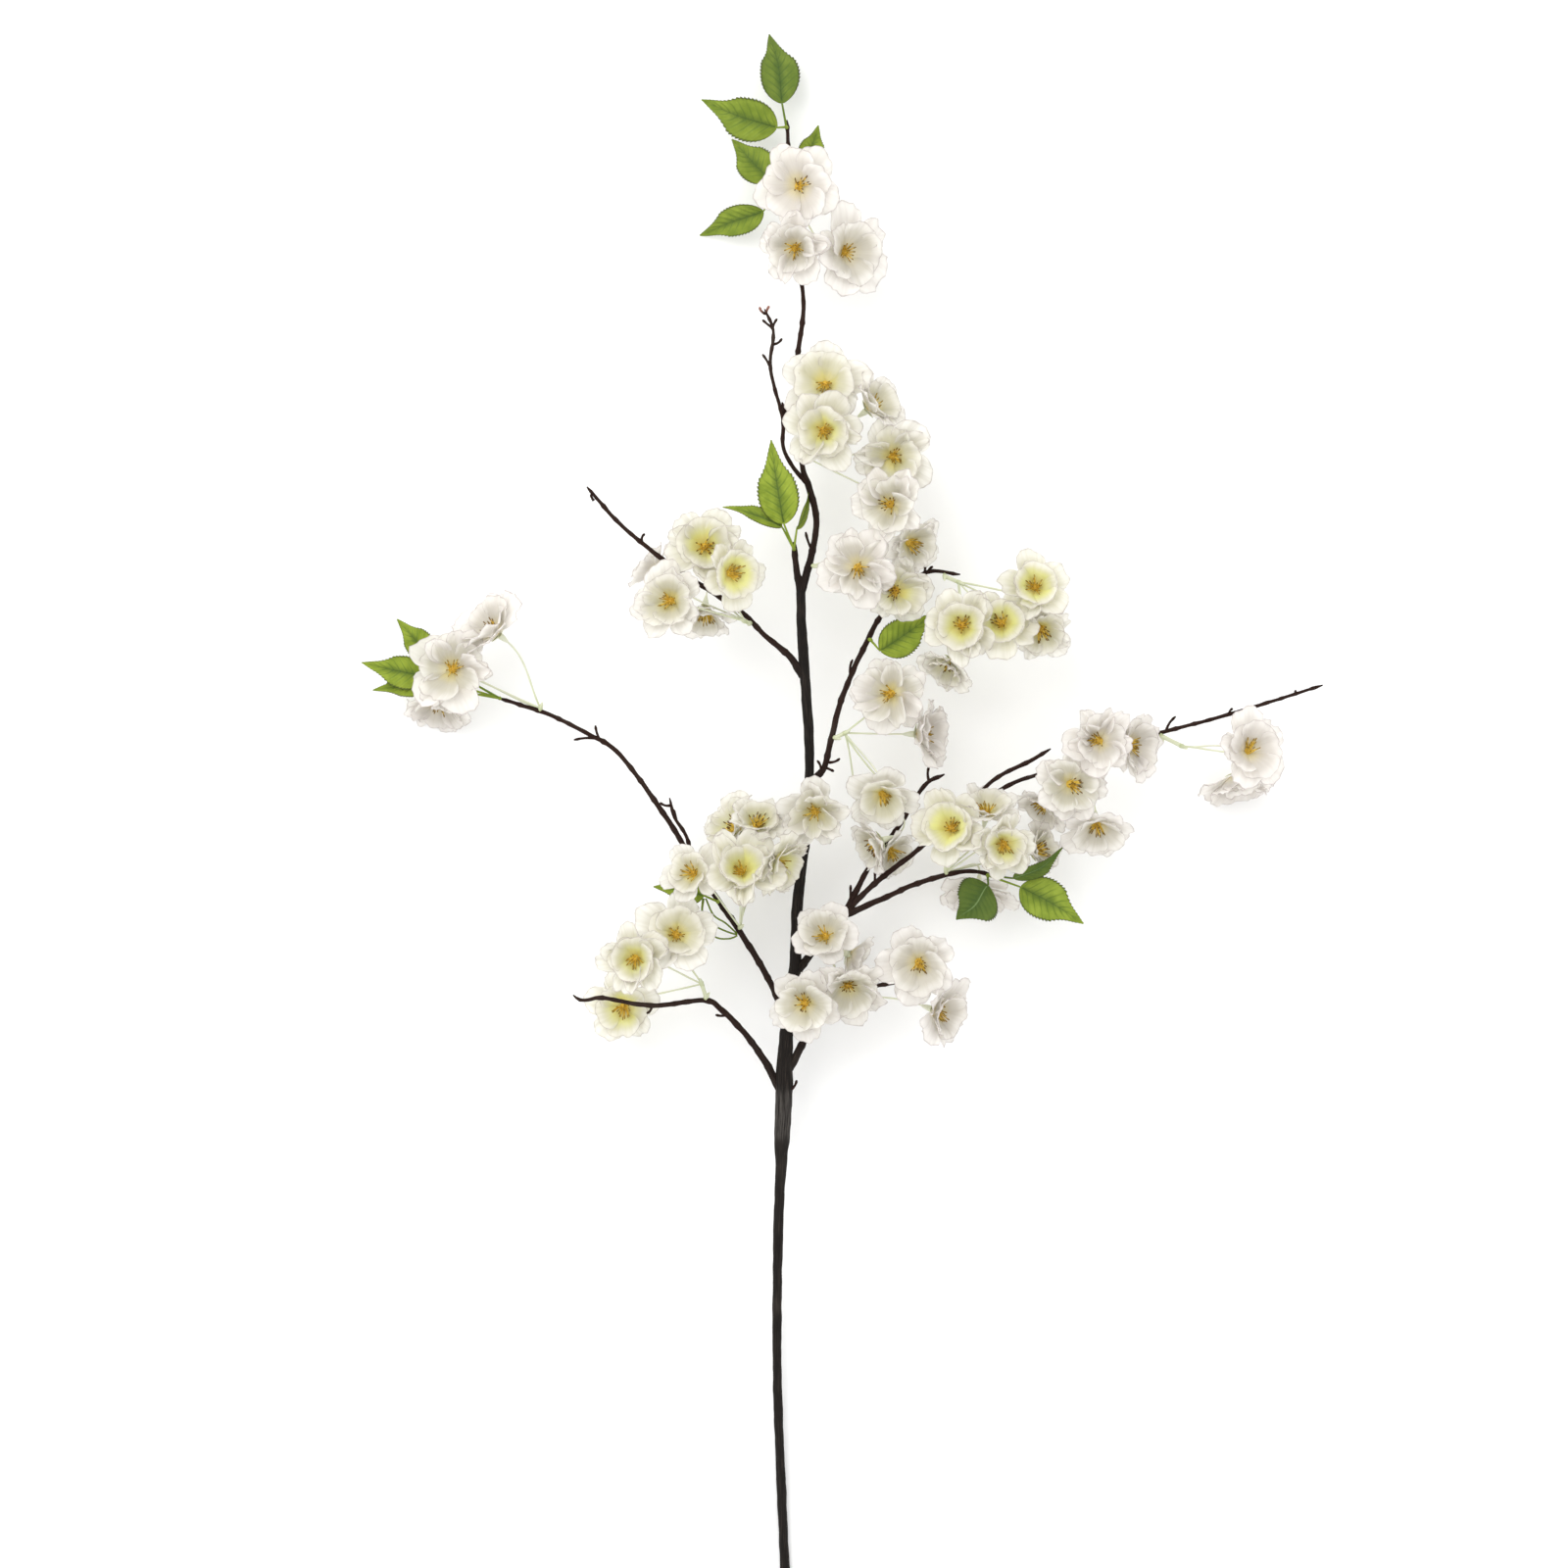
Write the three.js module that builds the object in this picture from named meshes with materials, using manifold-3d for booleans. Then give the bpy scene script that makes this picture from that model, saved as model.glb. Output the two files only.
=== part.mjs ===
// A cut stem of double white cherry blossom, an artificial spray, laid on its back.
// Millimetres. X runs across the stem, Y along it from the cut end to the tip, Z is up.
// The origin is the middle of the foot of the whole spray's box, on the surface it lies on.
import * as THREE from "three";
import { mergeVertices } from "three/addons/utils/BufferGeometryUtils.js";
import Module from "manifold-3d";

const wasm = await Module();
wasm.setup();

// Driving dimensions
const mmPerPx = 0.66;
const middleX = 860;
const middleY = 838;
const clearance = 0.3;
const clothThickness = 0.7;
const collarRadius = 3.3;
const collarBulge = 0.9;
const collarHeight = 1.5;
const calyxLength = 9.5;
const calyxRadius = 2.4;
const receptacleHeight = 3.6;
const receptacleTop = 0.8;
const stamenLength = 7;
const stamenSpread = 3.2;
const pedicelRadius = 0.75;
const longStalk = 30;
const stalkSides = 4;
const budRadius = 2.4;
const forkRadius = 1.6;
const leafTeeth = 4;
const leafFold = 0.2;
const leafArch = 0.06;
const leafStalkWidth = 1.6;
const outerPetals = 5;
const innerPetals = 3;
const smallReach = 27;
const sideLean = 55;
const collarBase = clearance + 0.05;

// Colours, roughness and metalness read from the photo
const woodLook = { color: 0x2e2a28, roughness: 0.72, metalness: 0 };
const stalkLook = { color: 0xb9c285, roughness: 0.6, metalness: 0 };
const petalLook = { color: 0xf1eee5, roughness: 0.85, metalness: 0 };
const leafLook = { color: 0x5d8c2c, roughness: 0.7, metalness: 0 };

// The woody limbs: photo x, photo y, width in photo pixels, height in mm above the surface
const limbs = {
  mainStem: [
    [803, 1647, 9, 2.6], [798, 1540, 9, 4.5], [793, 1400, 8.6, 10.5], [794, 1262, 9.5, 18],
    [797, 1190, 11, 23], [798, 1160, 15.5, 25], [800, 1120, 17, 28.5], [802, 1062, 14, 33],
    [811, 990, 12, 38.5], [814, 920, 10.4, 43], [823, 845, 9, 47], [826, 770, 9, 49],
    [822, 700, 10, 50], [818, 640, 9.4, 50], [817, 597, 9, 50],
  ],
  leader: [
    [817, 606, 8, 50], [829, 562, 6.2, 50], [833, 528, 5.6, 50], [825, 496, 6, 49.5],
    [818, 470, 4.8, 49], [817, 410, 4.4, 47], [814, 365, 4.2, 45], [820, 310, 3.8, 42],
    [812, 250, 3.6, 37], [806, 180, 3.4, 30], [803, 120, 3.2, 23],
  ],
  leftProng: [[817, 606, 8, 50], [812, 575, 6, 51], [810, 553, 4.6, 52]],
  bareTwig: [
    [822, 492, 4.4, 50], [808, 475, 3.6, 52], [799, 455, 3.2, 54], [799, 428, 3.6, 56],
    [790, 395, 3, 58], [786, 372, 2.8, 59], [789, 345, 2.6, 60], [788, 333, 2.6, 60],
    [780, 316, 2.2, 61],
  ],
  upperLeft: [
    [819, 690, 8, 50], [806, 670, 6, 50.5], [780, 648, 4.8, 52], [753, 622, 4.4, 53],
    [682, 575, 4, 56], [635, 537, 3.6, 58], [612, 512, 3, 59], [599, 497, 2.2, 60],
  ],
  upperRight: [
    [827, 797, 7, 48.5], [840, 785, 6, 49], [848, 755, 5.4, 50], [856, 722, 5, 51],
    [868, 690, 5, 51.5], [884, 656, 4.6, 51], [903, 623, 4.2, 49], [943, 585, 3.6, 46],
    [980, 586, 2.6, 46],
  ],
  fanTrunk: [[815, 990, 8, 38.5], [845, 950, 6.4, 43], [864, 931, 9, 46]],
  fanTop: [
    [860, 936, 6, 45.5], [888, 883, 4.4, 45], [918, 842, 4, 44], [943, 802, 3.6, 44],
    [964, 790, 2.6, 44],
  ],
  fanMiddle: [
    [859, 935, 6, 45.5], [892, 902, 5, 49], [938, 866, 4.2, 51], [985, 825, 4, 52],
    [1015, 795, 3.6, 53], [1050, 777, 3.4, 54], [1072, 764, 2.4, 54.5],
  ],
  fanLong: [
    [975, 834, 3.8, 52], [1030, 801, 3.6, 48], [1060, 790, 3.6, 45], [1110, 772, 3.6, 42],
    [1165, 753, 3.6, 41], [1240, 733, 3.2, 43], [1300, 715, 3, 46], [1350, 699, 2.2, 49],
  ],
  fanLow: [
    [858, 936, 6, 45.5], [905, 915, 5, 50], [940, 900, 4.4, 52], [985, 889, 3.8, 53],
    [1014, 893, 3, 54],
  ],
  farLeft: [
    [803, 1044, 8, 35], [788, 1007, 6, 34.5], [762, 962, 5.4, 34], [720, 900, 5, 33],
    [680, 835, 4.6, 32], [632, 770, 4, 32], [600, 749, 3.8, 32], [560, 729, 3.6, 33],
    [530, 719, 3.2, 33.5], [505, 711, 2.4, 34],
  ],
  farLeftTwig: [[706, 878, 3.4, 32.5], [700, 853, 3, 34], [688, 834, 2.6, 36], [683, 814, 2, 37]],
  lowLeft: [
    [799, 1119, 8, 28.5], [780, 1083, 6.6, 30.5], [758, 1053, 5.6, 32], [735, 1030, 5, 35],
    [718, 1021, 4.6, 40], [665, 1026, 4, 52], [615, 1018, 3.6, 57], [585, 1015, 2.4, 59],
  ],
  lowRight: [
    [805, 1092, 8, 30.5], [826, 1052, 6.5, 34], [838, 1030, 5.5, 36], [868, 1012, 4.4, 38],
    [930, 1000, 3, 40],
  ],
};

// Bare nubs: photo x, y and height of the root inside the limb, photo x, y and height of the tip
const nubs = [
  [829, 562, 50, 822, 543, 53], [788, 335, 60, 778, 327, 61], [788, 337, 60, 793, 326, 62],
  [789, 352, 60, 798, 346, 61], [786, 375, 59, 778, 362, 60], [799, 428, 56, 803, 406, 59],
  [800, 430, 56, 811, 414, 58], [655, 553, 57, 658, 545, 60], [838, 787, 49, 834, 776, 53],
  [868, 690, 51.5, 870, 673, 54], [612, 756, 32, 607, 740, 34], [606, 753, 32, 585, 755, 33],
  [690, 838, 36, 687, 826, 38], [684, 822, 37, 673, 819, 38], [665, 1026, 52, 660, 1034, 54],
  [742, 1036, 34, 730, 1036, 36], [868, 921, 46, 868, 903, 48], [893, 901, 49, 893, 889, 52],
  [948, 797, 44, 948, 782, 46], [1190, 747, 41, 1200, 731, 44], [1255, 728, 44, 1258, 723, 47],
  [943, 586, 46, 944, 577, 49],
];

// Each spray: where its bud sits on a twig and, where there is one, the fork at which its stalks
// part (photo x, y, height in mm), and its blooms: photo x and y of the throat, height in mm, the
// way the face turns in degrees anticlockwise from the right, how far it leans that way from
// facing up, the reach of its petals in mm, and how steeply they rise in degrees.
const sprays = {
  top: {
    seat: [808, 203, 32],
    blooms: [
      [815, 191, 64, 180, 7, 30, 18],
      [811, 254, 63, 220, 14, 25, 22],
      [862, 257, 48, 0, 36, 30, 24],
    ],
  },
  crown: {
    seat: [818, 466, 50],
    blooms: [
      [842, 393, 68, 110, 19, 28, 20],
      [840, 441, 82, 200, 9, 28, 20],
      [888, 417, 65, 35, 61, 24, 36],
      [911, 467, 70, 250, 8, 28, 22],
      [908, 516, 85, 200, 11, 27, 20],
    ],
  },
  heart: {
    seat: [829, 577, 50],
    blooms: [
      [927, 554, 64, 335, 42, 24, 26],
      [875, 580, 78, 180, 5, 29, 18],
      [914, 603, 67, 340, 24, 25, 24],
    ],
  },
  left: {
    seat: [766, 635, 52.5],
    fork: [760, 634, 58],
    blooms: [
      [719, 559, 80, 90, 9, 28, 20],
      [745, 586, 92, 350, 32, 26, 22],
      [685, 614, 87, 170, 19, 28, 22],
      [719, 623, 39, 265, 60, 24, 34],
      [669, 581, 31, 140, 99, 22, 30],
    ],
  },
  right: {
    seat: [964, 586, 46],
    fork: [978, 594, 52],
    blooms: [
      [1055, 600, 76, 80, 14, 26, 24],
      [981, 639, 83, 200, 8, 27, 22],
      [1021, 637, 76, 100, 9, 25, 22],
      [1061, 642, 67, 300, 26, 23, 24],
      [969, 676, 53, 240, 64, 20, 36],
    ],
  },
  middleRight: {
    seat: [850, 752, 50],
    fork: [862, 748, 55],
    blooms: [
      [909, 708, 65, 180, 8, 28, 18],
      [938, 749, 53, 0, 65, 27, 34],
      [900, 810, 65, 272, 34, 27, 24],
      [896, 859, 54, 200, 67, 22, 34],
      [909, 868, 43, 325, 51, 20, 28],
    ],
  },
  stemFront: {
    seat: [821, 856, 46.5],
    blooms: [[832, 828, 66, 250, 20, 28, 20]],
  },
  leftHeart: {
    seat: [753, 948, 34],
    blooms: [
      [772, 842, 62, 75, 44, 22, 30],
      [752, 846, 41, 145, 60, 26, 30],
      [757, 889, 81, 85, 20, 27, 24],
      [708, 891, 75, 150, 22, 25, 20],
      [791, 879, 75, 330, 61, 24, 26],
    ],
  },
  lowLeft: {
    seat: [718, 1021, 40],
    fork: [716, 1004, 47],
    blooms: [
      [690, 953, 71, 60, 17, 29, 18],
      [649, 977, 81, 200, 14, 28, 24],
      [636, 1028, 30, 220, 14, 26, 18],
    ],
  },
  farLeft: {
    seat: [550, 725, 33],
    blooms: [
      [506, 645, 52, 140, 60, 28, 30],
      [462, 683, 55, 160, 9, 30, 18],
      [447, 716, 15.4, 255, 62, 23, 30],
    ],
  },
  fanHeart: {
    seat: [966, 892, 52.5],
    blooms: [
      [970, 845, 75, 150, 20, 28, 20],
      [1023, 861, 82, 290, 16, 25, 24],
      [1006, 830, 67, 80, 56, 22, 28],
      [1056, 868, 42, 15, 62, 22, 34],
      [999, 907, 25, 265, 60, 28, 22],
    ],
  },
  fanRight: {
    seat: [1104, 774, 42.5],
    blooms: [
      [1120, 756, 83, 20, 4, 24, 20],
      [1150, 760, 63, 0, 53, 25, 28],
      [1091, 800, 75, 300, 11, 27, 20],
      [1119, 841, 56, 275, 51, 25, 26],
      [1068, 818, 40, 235, 65, 23, 34],
    ],
  },
  farRight: {
    seat: [1185, 748, 41],
    fork: [1206, 761, 41],
    blooms: [
      [1273, 766, 58, 10, 27, 29, 22],
      [1263, 793, 20.9, 275, 80, 26, 30],
    ],
  },
  lowRight: {
    seat: [862, 1015, 37.5],
    blooms: [
      [842, 955, 63, 100, 22, 25, 26],
      [868, 976, 36, 330, 100, 20, 28],
      [821, 1023, 70, 230, 16, 28, 22],
      [865, 1005, 66, 282, 38, 27, 24],
      [937, 981, 72, 250, 18, 28, 20],
      [955, 1031, 59, 340, 60, 26, 30],
    ],
  },
};

// Leaf groups: the bud's place, and for each leaf its base and tip (photo x, y, height in mm),
// its width in mm, and how far it rolls about its midrib in degrees
const leafGroups = {
  tipLeaves: {
    seat: [804, 128, 24],
    leaves: [
      [798, 103, 26, 785, 30, 0.3, 26, 10],
      [793, 128, 28, 716, 99, 20, 29, -15],
    ],
  },
  topLeaves: {
    seat: [806, 178, 30],
    leaves: [
      [787, 184, 31, 747, 140, 22, 25, 10],
      [822, 164, 34, 835, 127, 38, 17, 20],
      [779, 213, 24, 714, 236, 0.3, 20, -12],
    ],
  },
  prongLeaves: {
    seat: [811, 560, 51.5],
    leaves: [
      [800, 535, 56, 787, 450, 58, 27, -10],
      [798, 538, 54, 738, 518, 58, 16, 50],
      [813, 540, 52, 825, 500, 50, 12, 70],
    ],
  },
  rightLeaf: {
    seat: [886, 652, 51],
    leaves: [[898, 664, 52, 953, 626, 52, 25, 12]],
  },
  leftLeaf: {
    seat: [733, 920, 33],
    leaves: [[718, 914, 36, 667, 905, 40, 17, 15]],
  },
  fanLeaves: {
    seat: [1008, 892, 53.5],
    leaves: [
      [1008, 903, 56, 976, 938, 52, 32, 8],
      [1041, 905, 56, 1105, 942, 52, 28, -10],
      [1034, 896, 60, 1083, 865, 72, 13, 40],
    ],
  },
  farLeftLeaves: {
    seat: [509, 713, 34],
    leaves: [
      [438, 672, 38, 405, 632, 44, 19, 15],
      [436, 690, 36, 369, 676, 40, 22, -10],
      [438, 700, 32, 380, 704, 34, 15, 20],
    ],
  },
};

// A point of the photo at a height above the surface
function place(x, y, height) {
  return new THREE.Vector3((x - middleX) * mmPerPx, (middleY - y) * mmPerPx, height);
}

// An even value from 0 to 1 that differs for every seed and every draw of it
function wobble(seed, order) {
  const value = Math.sin(seed * 12.9898 + order * 78.233) * 43758.5453;
  return value - Math.floor(value);
}

function radians(degrees) {
  return (degrees * Math.PI) / 180;
}

// A closed geometry as a solid that can be joined and cut
function closedSolid(geometry) {
  geometry.deleteAttribute("normal");
  geometry.deleteAttribute("uv");
  const merged = mergeVertices(geometry, 1e-4);
  return new wasm.Manifold(
    new wasm.Mesh({
      numProp: 3,
      vertProperties: merged.attributes.position.array,
      triVerts: new Uint32Array(merged.index.array),
    }),
  );
}

function solidOf(points, triangles) {
  const geometry = new THREE.BufferGeometry().setFromPoints(points);
  geometry.setIndex(triangles);
  return closedSolid(geometry);
}

// A closed tube through stations of a place and a radius, ending flat or in a crown of points
function tube(stations, sides, crown) {
  const points = [];
  const triangles = [];
  const last = stations.length - 1;
  let normal = null;
  let along = null;
  stations.forEach((station, i) => {
    const before = stations[Math.max(i - 1, 0)].at;
    const after = stations[Math.min(i + 1, last)].at;
    along = after.clone().sub(before).normalize();
    if (!normal) {
      normal = Math.abs(along.z) > 0.8 ? new THREE.Vector3(1, 0, 0) : new THREE.Vector3(0, 0, 1);
    }
    normal = normal.clone().addScaledVector(along, -normal.dot(along)).normalize();
    const other = along.clone().cross(normal);
    for (let j = 0; j < sides; j++) {
      const angle = (2 * Math.PI * j) / sides;
      points.push(
        station.at
          .clone()
          .addScaledVector(normal, station.radius * Math.cos(angle))
          .addScaledVector(other, station.radius * Math.sin(angle)),
      );
    }
  });
  for (let i = 0; i < last; i++) {
    for (let j = 0; j < sides; j++) {
      const a = i * sides + j;
      const b = i * sides + ((j + 1) % sides);
      triangles.push(a, b, b + sides, a, b + sides, a + sides);
    }
  }
  const top = last * sides;
  for (let j = 1; j < sides - 1; j++) {
    triangles.push(0, j + 1, j);
    if (!crown) triangles.push(top, top + j, top + j + 1);
  }
  if (crown) {
    const end = stations[last].at;
    const middle = points.push(end.clone().addScaledVector(along, crown.middle)) - 1;
    for (let j = 0; j < sides; j++) {
      const a = top + j;
      const b = top + ((j + 1) % sides);
      const outward = points[a].clone().add(points[b]).multiplyScalar(0.5).sub(end).normalize();
      const tip = end
        .clone()
        .addScaledVector(along, crown.length)
        .addScaledVector(outward, crown.spread);
      const t = points.push(tip) - 1;
      triangles.push(a, b, t, b, middle, t, middle, a, t);
    }
  }
  return solidOf(points, triangles);
}

// A cloth sheet given its middle surface: both faces split alike, and a wall round every free edge
function thicken(points, triangles, thickness) {
  const sheet = new THREE.BufferGeometry().setFromPoints(points);
  sheet.setIndex(triangles);
  sheet.computeVertexNormals();
  const normals = sheet.getAttribute("normal");
  const count = points.length;
  const both = [];
  for (const side of [0.5, -0.5]) {
    points.forEach((point, i) => {
      const normal = new THREE.Vector3().fromBufferAttribute(normals, i);
      both.push(point.clone().addScaledVector(normal, side * thickness));
    });
  }
  const faces = [];
  const edges = new Map();
  for (let i = 0; i < triangles.length; i += 3) {
    const [a, b, c] = triangles.slice(i, i + 3);
    faces.push(a, b, c, c + count, b + count, a + count);
    for (const [p, q] of [[a, b], [b, c], [c, a]]) {
      if (edges.has(`${q} ${p}`)) edges.delete(`${q} ${p}`);
      else edges.set(`${p} ${q}`, [p, q]);
    }
  }
  for (const [p, q] of edges.values()) {
    faces.push(q, p, p + count, q, p + count, q + count);
  }
  return solidOf(both, faces);
}

function unite(solids) {
  return solids.reduce((whole, solid) => whole.add(solid));
}

// The largest body of a solid, without loose scraps
function mainBody(solid) {
  return solid.decompose().sort((a, b) => b.volume() - a.volume())[0];
}

// The wood, grown outwards by a margin where it cuts room for what is threaded on it
function wood(margin) {
  const solids = [];
  for (const [name, path] of Object.entries(limbs)) {
    const stations = path.map(([x, y, width, height]) => ({
      at: place(x, y, height),
      radius: (width * mmPerPx) / 2 + margin,
    }));
    const stout = path[0][2] > 5;
    solids.push(tube(stations, name === "mainStem" ? 8 : stout ? 5 : 4));
  }
  for (const [x0, y0, z0, x1, y1, z1] of nubs) {
    const stations = [
      { at: place(x0, y0, z0), radius: 1.0 + margin },
      { at: place(x1, y1, z1), radius: 0.7 + margin },
    ];
    solids.push(tube(stations, 3));
  }
  return unite(solids);
}

// The bloom's own axes: its face, and two directions across it
function bloomFrame([x, y, height, turn, lean, reach, rise]) {
  const t = radians(turn);
  const l = radians(lean);
  const face = new THREE.Vector3(Math.sin(l) * Math.cos(t), Math.sin(l) * Math.sin(t), Math.cos(l));
  const across = new THREE.Vector3(Math.cos(l) * Math.cos(t), Math.cos(l) * Math.sin(t), -Math.sin(l));
  const other = new THREE.Vector3(-Math.sin(t), Math.cos(t), 0);
  const hub = place(x, y, height).addScaledVector(face, -2);
  return { face, across, other, hub, reach, rise: radians(rise), lean };
}

// A place on a petal's middle surface: u from root to tip, v from edge to edge
function petalPoint(bloom, petal, u, v) {
  const bend = petal.riseTip - petal.riseRoot;
  const slope = petal.riseRoot + bend * u;
  const out = (petal.length * (Math.sin(slope) - Math.sin(petal.riseRoot))) / bend;
  const up = (petal.length * (Math.cos(petal.riseRoot) - Math.cos(slope))) / bend;
  const side = v * petal.halfWidth * 2.165 * u ** 1.1 * (1 - u) ** 0.33;
  const lift = (petal.cup * side * side) / petal.halfWidth + petal.twist * side;
  const radial = petal.rootRadius + out - lift * Math.sin(slope);
  const height = petal.rootHeight + up + lift * Math.cos(slope);
  return bloomPoint(bloom, petal.turn, radial, side, height);
}

function bloomPoint(bloom, turn, radial, side, height) {
  const c = Math.cos(turn);
  const s = Math.sin(turn);
  return bloom.hub
    .clone()
    .addScaledVector(bloom.across, radial * c - side * s)
    .addScaledVector(bloom.other, radial * s + side * c)
    .addScaledVector(bloom.face, height);
}

// The form of one petal of the outer or the inner whorl
function petalForm(bloom, seed, whorl, i) {
  const inner = whorl === "inner";
  const draw = (k) => wobble(seed, (inner ? 100 : 0) + i * 7 + k);
  const spread = inner ? 0.62 : 0.98;
  const length = (bloom.reach - collarRadius) * spread * (1.05 + 0.1 * (draw(0) - 0.5));
  const place = i + (inner ? 0.5 : 0) + 0.12 * (draw(1) - 0.5);
  return {
    turn: (2 * Math.PI * place) / outerPetals + wobble(seed, 50),
    length,
    halfWidth: length * (inner ? 0.46 : 0.56),
    riseRoot: bloom.rise + (inner ? radians(42) : radians(14)) + radians(8) * (draw(2) - 0.5),
    riseTip: bloom.rise + (inner ? radians(12) : radians(-22)) + radians(16) * (draw(3) - 0.5),
    cup: inner ? 0.4 : 0.22,
    twist: inner ? 0.1 : 0.17,
    rootRadius: collarRadius,
    rootHeight: collarBase + clothThickness / 2 + (inner ? 0.1 : 0),
  };
}

// The way a petal's upper face looks at a place on it
function petalNormal(bloom, petal, u, v) {
  const step = 0.01;
  const along = petalPoint(bloom, petal, u + step, v).sub(petalPoint(bloom, petal, u - step, v));
  const across = petalPoint(bloom, petal, u, v + step).sub(petalPoint(bloom, petal, u, v - step));
  return along.cross(across).normalize();
}

// A bloom's petals as one body: the outer petals spread from a collar round the receptacle, and
// the inner petals stand up from the same collar, turned half a petal on
function bloomPetals(bloom, seed) {
  const points = [];
  const triangles = [];
  const side = bloom.lean > sideLean;
  const large = bloom.reach > smallReach;
  const innerCount = side ? 0 : large ? innerPetals : innerPetals - 1;
  const outer = [];
  for (let i = 0; i < outerPetals; i++) outer.push(petalForm(bloom, seed, "outer", i));
  const rings = [
    { radius: collarRadius, height: collarBase },
    { radius: collarRadius + collarBulge, height: collarBase + 0.6 * collarHeight },
    { radius: collarRadius - 0.2, height: collarBase + collarHeight },
  ];
  for (const ring of rings) {
    outer.forEach((petal, i) => {
      const next = outer[(i + 1) % outerPetals].turn + (i + 1 < outerPetals ? 0 : 2 * Math.PI);
      points.push(bloomPoint(bloom, (petal.turn + next) / 2, ring.radius, 0, ring.height));
    });
  }
  const ringAt = (ring, i) => ring * outerPetals + ((i + outerPetals) % outerPetals);

  // One blade whose root is the collar's side i, between a lower and an upper ring
  function blade(petal, i, lower, upper, rim) {
    const under = [ringAt(lower, i - 1)];
    const over = [ringAt(upper, i - 1)];
    for (const [u, v] of rim) {
      const middle = petalPoint(bloom, petal, u, v);
      const normal = petalNormal(bloom, petal, u, v).multiplyScalar(clothThickness / 2);
      over.push(points.push(middle.clone().add(normal)) - 1);
      under.push(points.push(middle.clone().sub(normal)) - 1);
    }
    under.push(ringAt(lower, i));
    over.push(ringAt(upper, i));
    let a = 0;
    let b = over.length - 1;
    const corners = [];
    while (b - a > 1) {
      corners.push([a, a + 1, b]);
      a += 1;
      if (b - a > 1) {
        corners.push([a, b - 1, b]);
        b -= 1;
      }
    }
    for (const [p, q, r] of corners) {
      triangles.push(over[p], over[q], over[r], under[r], under[q], under[p]);
    }
    for (let k = 0; k + 1 < over.length; k++) {
      triangles.push(over[k + 1], over[k], under[k], over[k + 1], under[k], under[k + 1]);
    }
  }

  const rim = [[0.5, -1], [0.87, -0.97], [0.95, 0], [0.87, 0.97], [0.5, 1]];
  const outerRim = side || !large ? rim.filter(([, v]) => v !== 0) : rim;
  outer.forEach((petal, i) => blade(petal, i, 0, 1, outerRim));
  for (let i = 0; i < outerPetals; i++) {
    triangles.push(ringAt(0, i), ringAt(0, i - 1), ringAt(2, i - 1));
    triangles.push(ringAt(0, i), ringAt(2, i - 1), ringAt(2, i));
    const share = innerCount / outerPetals;
    const stands = Math.floor((i + 1) * share) > Math.floor(i * share);
    if (stands) {
      const petal = petalForm(bloom, seed, "inner", i);
      blade(petal, i, 1, 2, [[0.5, -1], [0.9, -0.9], [0.9, 0.9], [0.5, 1]]);
    } else {
      triangles.push(ringAt(1, i), ringAt(2, i), ringAt(1, i - 1));
      triangles.push(ringAt(1, i - 1), ringAt(2, i), ringAt(2, i - 1));
    }
  }
  return solidOf(points, triangles);
}

// A bloom's stalk, calyx, receptacle and stamens as one moulded piece
function bloomStalk(bloom, start) {
  const foot = bloom.hub.clone().addScaledVector(bloom.face, -calyxLength);
  const reach = foot.distanceTo(start);
  const curve = new THREE.CubicBezierCurve3(
    start,
    start.clone().lerp(foot, 0.35),
    foot.clone().addScaledVector(bloom.face, -0.4 * reach),
    foot,
  );
  const above = (height) => bloom.hub.clone().addScaledVector(bloom.face, height);
  const bends = reach > longStalk ? [0.35, 0.7] : [0.55];
  const stations = [
    { at: start, radius: pedicelRadius },
    ...bends.map((t) => ({ at: curve.getPoint(t), radius: pedicelRadius })),
    { at: foot, radius: pedicelRadius + 0.1 },
    { at: above(0), radius: calyxRadius },
    { at: above(receptacleHeight), radius: receptacleTop },
  ];
  return tube(stations, stalkSides, { middle: 0.6, length: stamenLength, spread: stamenSpread });
}

// The nearest place on a limb's middle line, with the limb's radius and direction there
function twigAt(at) {
  let best = null;
  for (const path of Object.values(limbs)) {
    for (let i = 1; i < path.length; i++) {
      const [x0, y0, w0, z0] = path[i - 1];
      const [x1, y1, w1, z1] = path[i];
      const line = new THREE.Line3(place(x0, y0, z0), place(x1, y1, z1));
      const share = line.closestPointToPointParameter(at, true);
      const near = line.at(share, new THREE.Vector3());
      const distance = near.distanceTo(at);
      if (best && best.distance < distance) continue;
      const radius = ((w0 + share * (w1 - w0)) * mmPerPx) / 2;
      best = { distance, near, radius, along: line.delta(new THREE.Vector3()).normalize() };
    }
  }
  return best;
}

// The middle of the bud that carries a spray, beside its twig on the side it grows to, and the
// more above it the larger the value of upward
function budPlace(seat, targets, upward) {
  const twig = twigAt(place(...seat));
  const towards = new THREE.Vector3(0, 0, upward);
  for (const target of targets) towards.add(target.clone().sub(twig.near).normalize());
  towards.addScaledVector(twig.along, -towards.dot(twig.along)).normalize();
  return twig.near.clone().addScaledVector(towards, twig.radius + budRadius / 2);
}

function bud(at, radius) {
  const ball = new THREE.IcosahedronGeometry(radius, 0);
  ball.translate(at.x, at.y, at.z);
  return closedSolid(ball);
}

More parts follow.
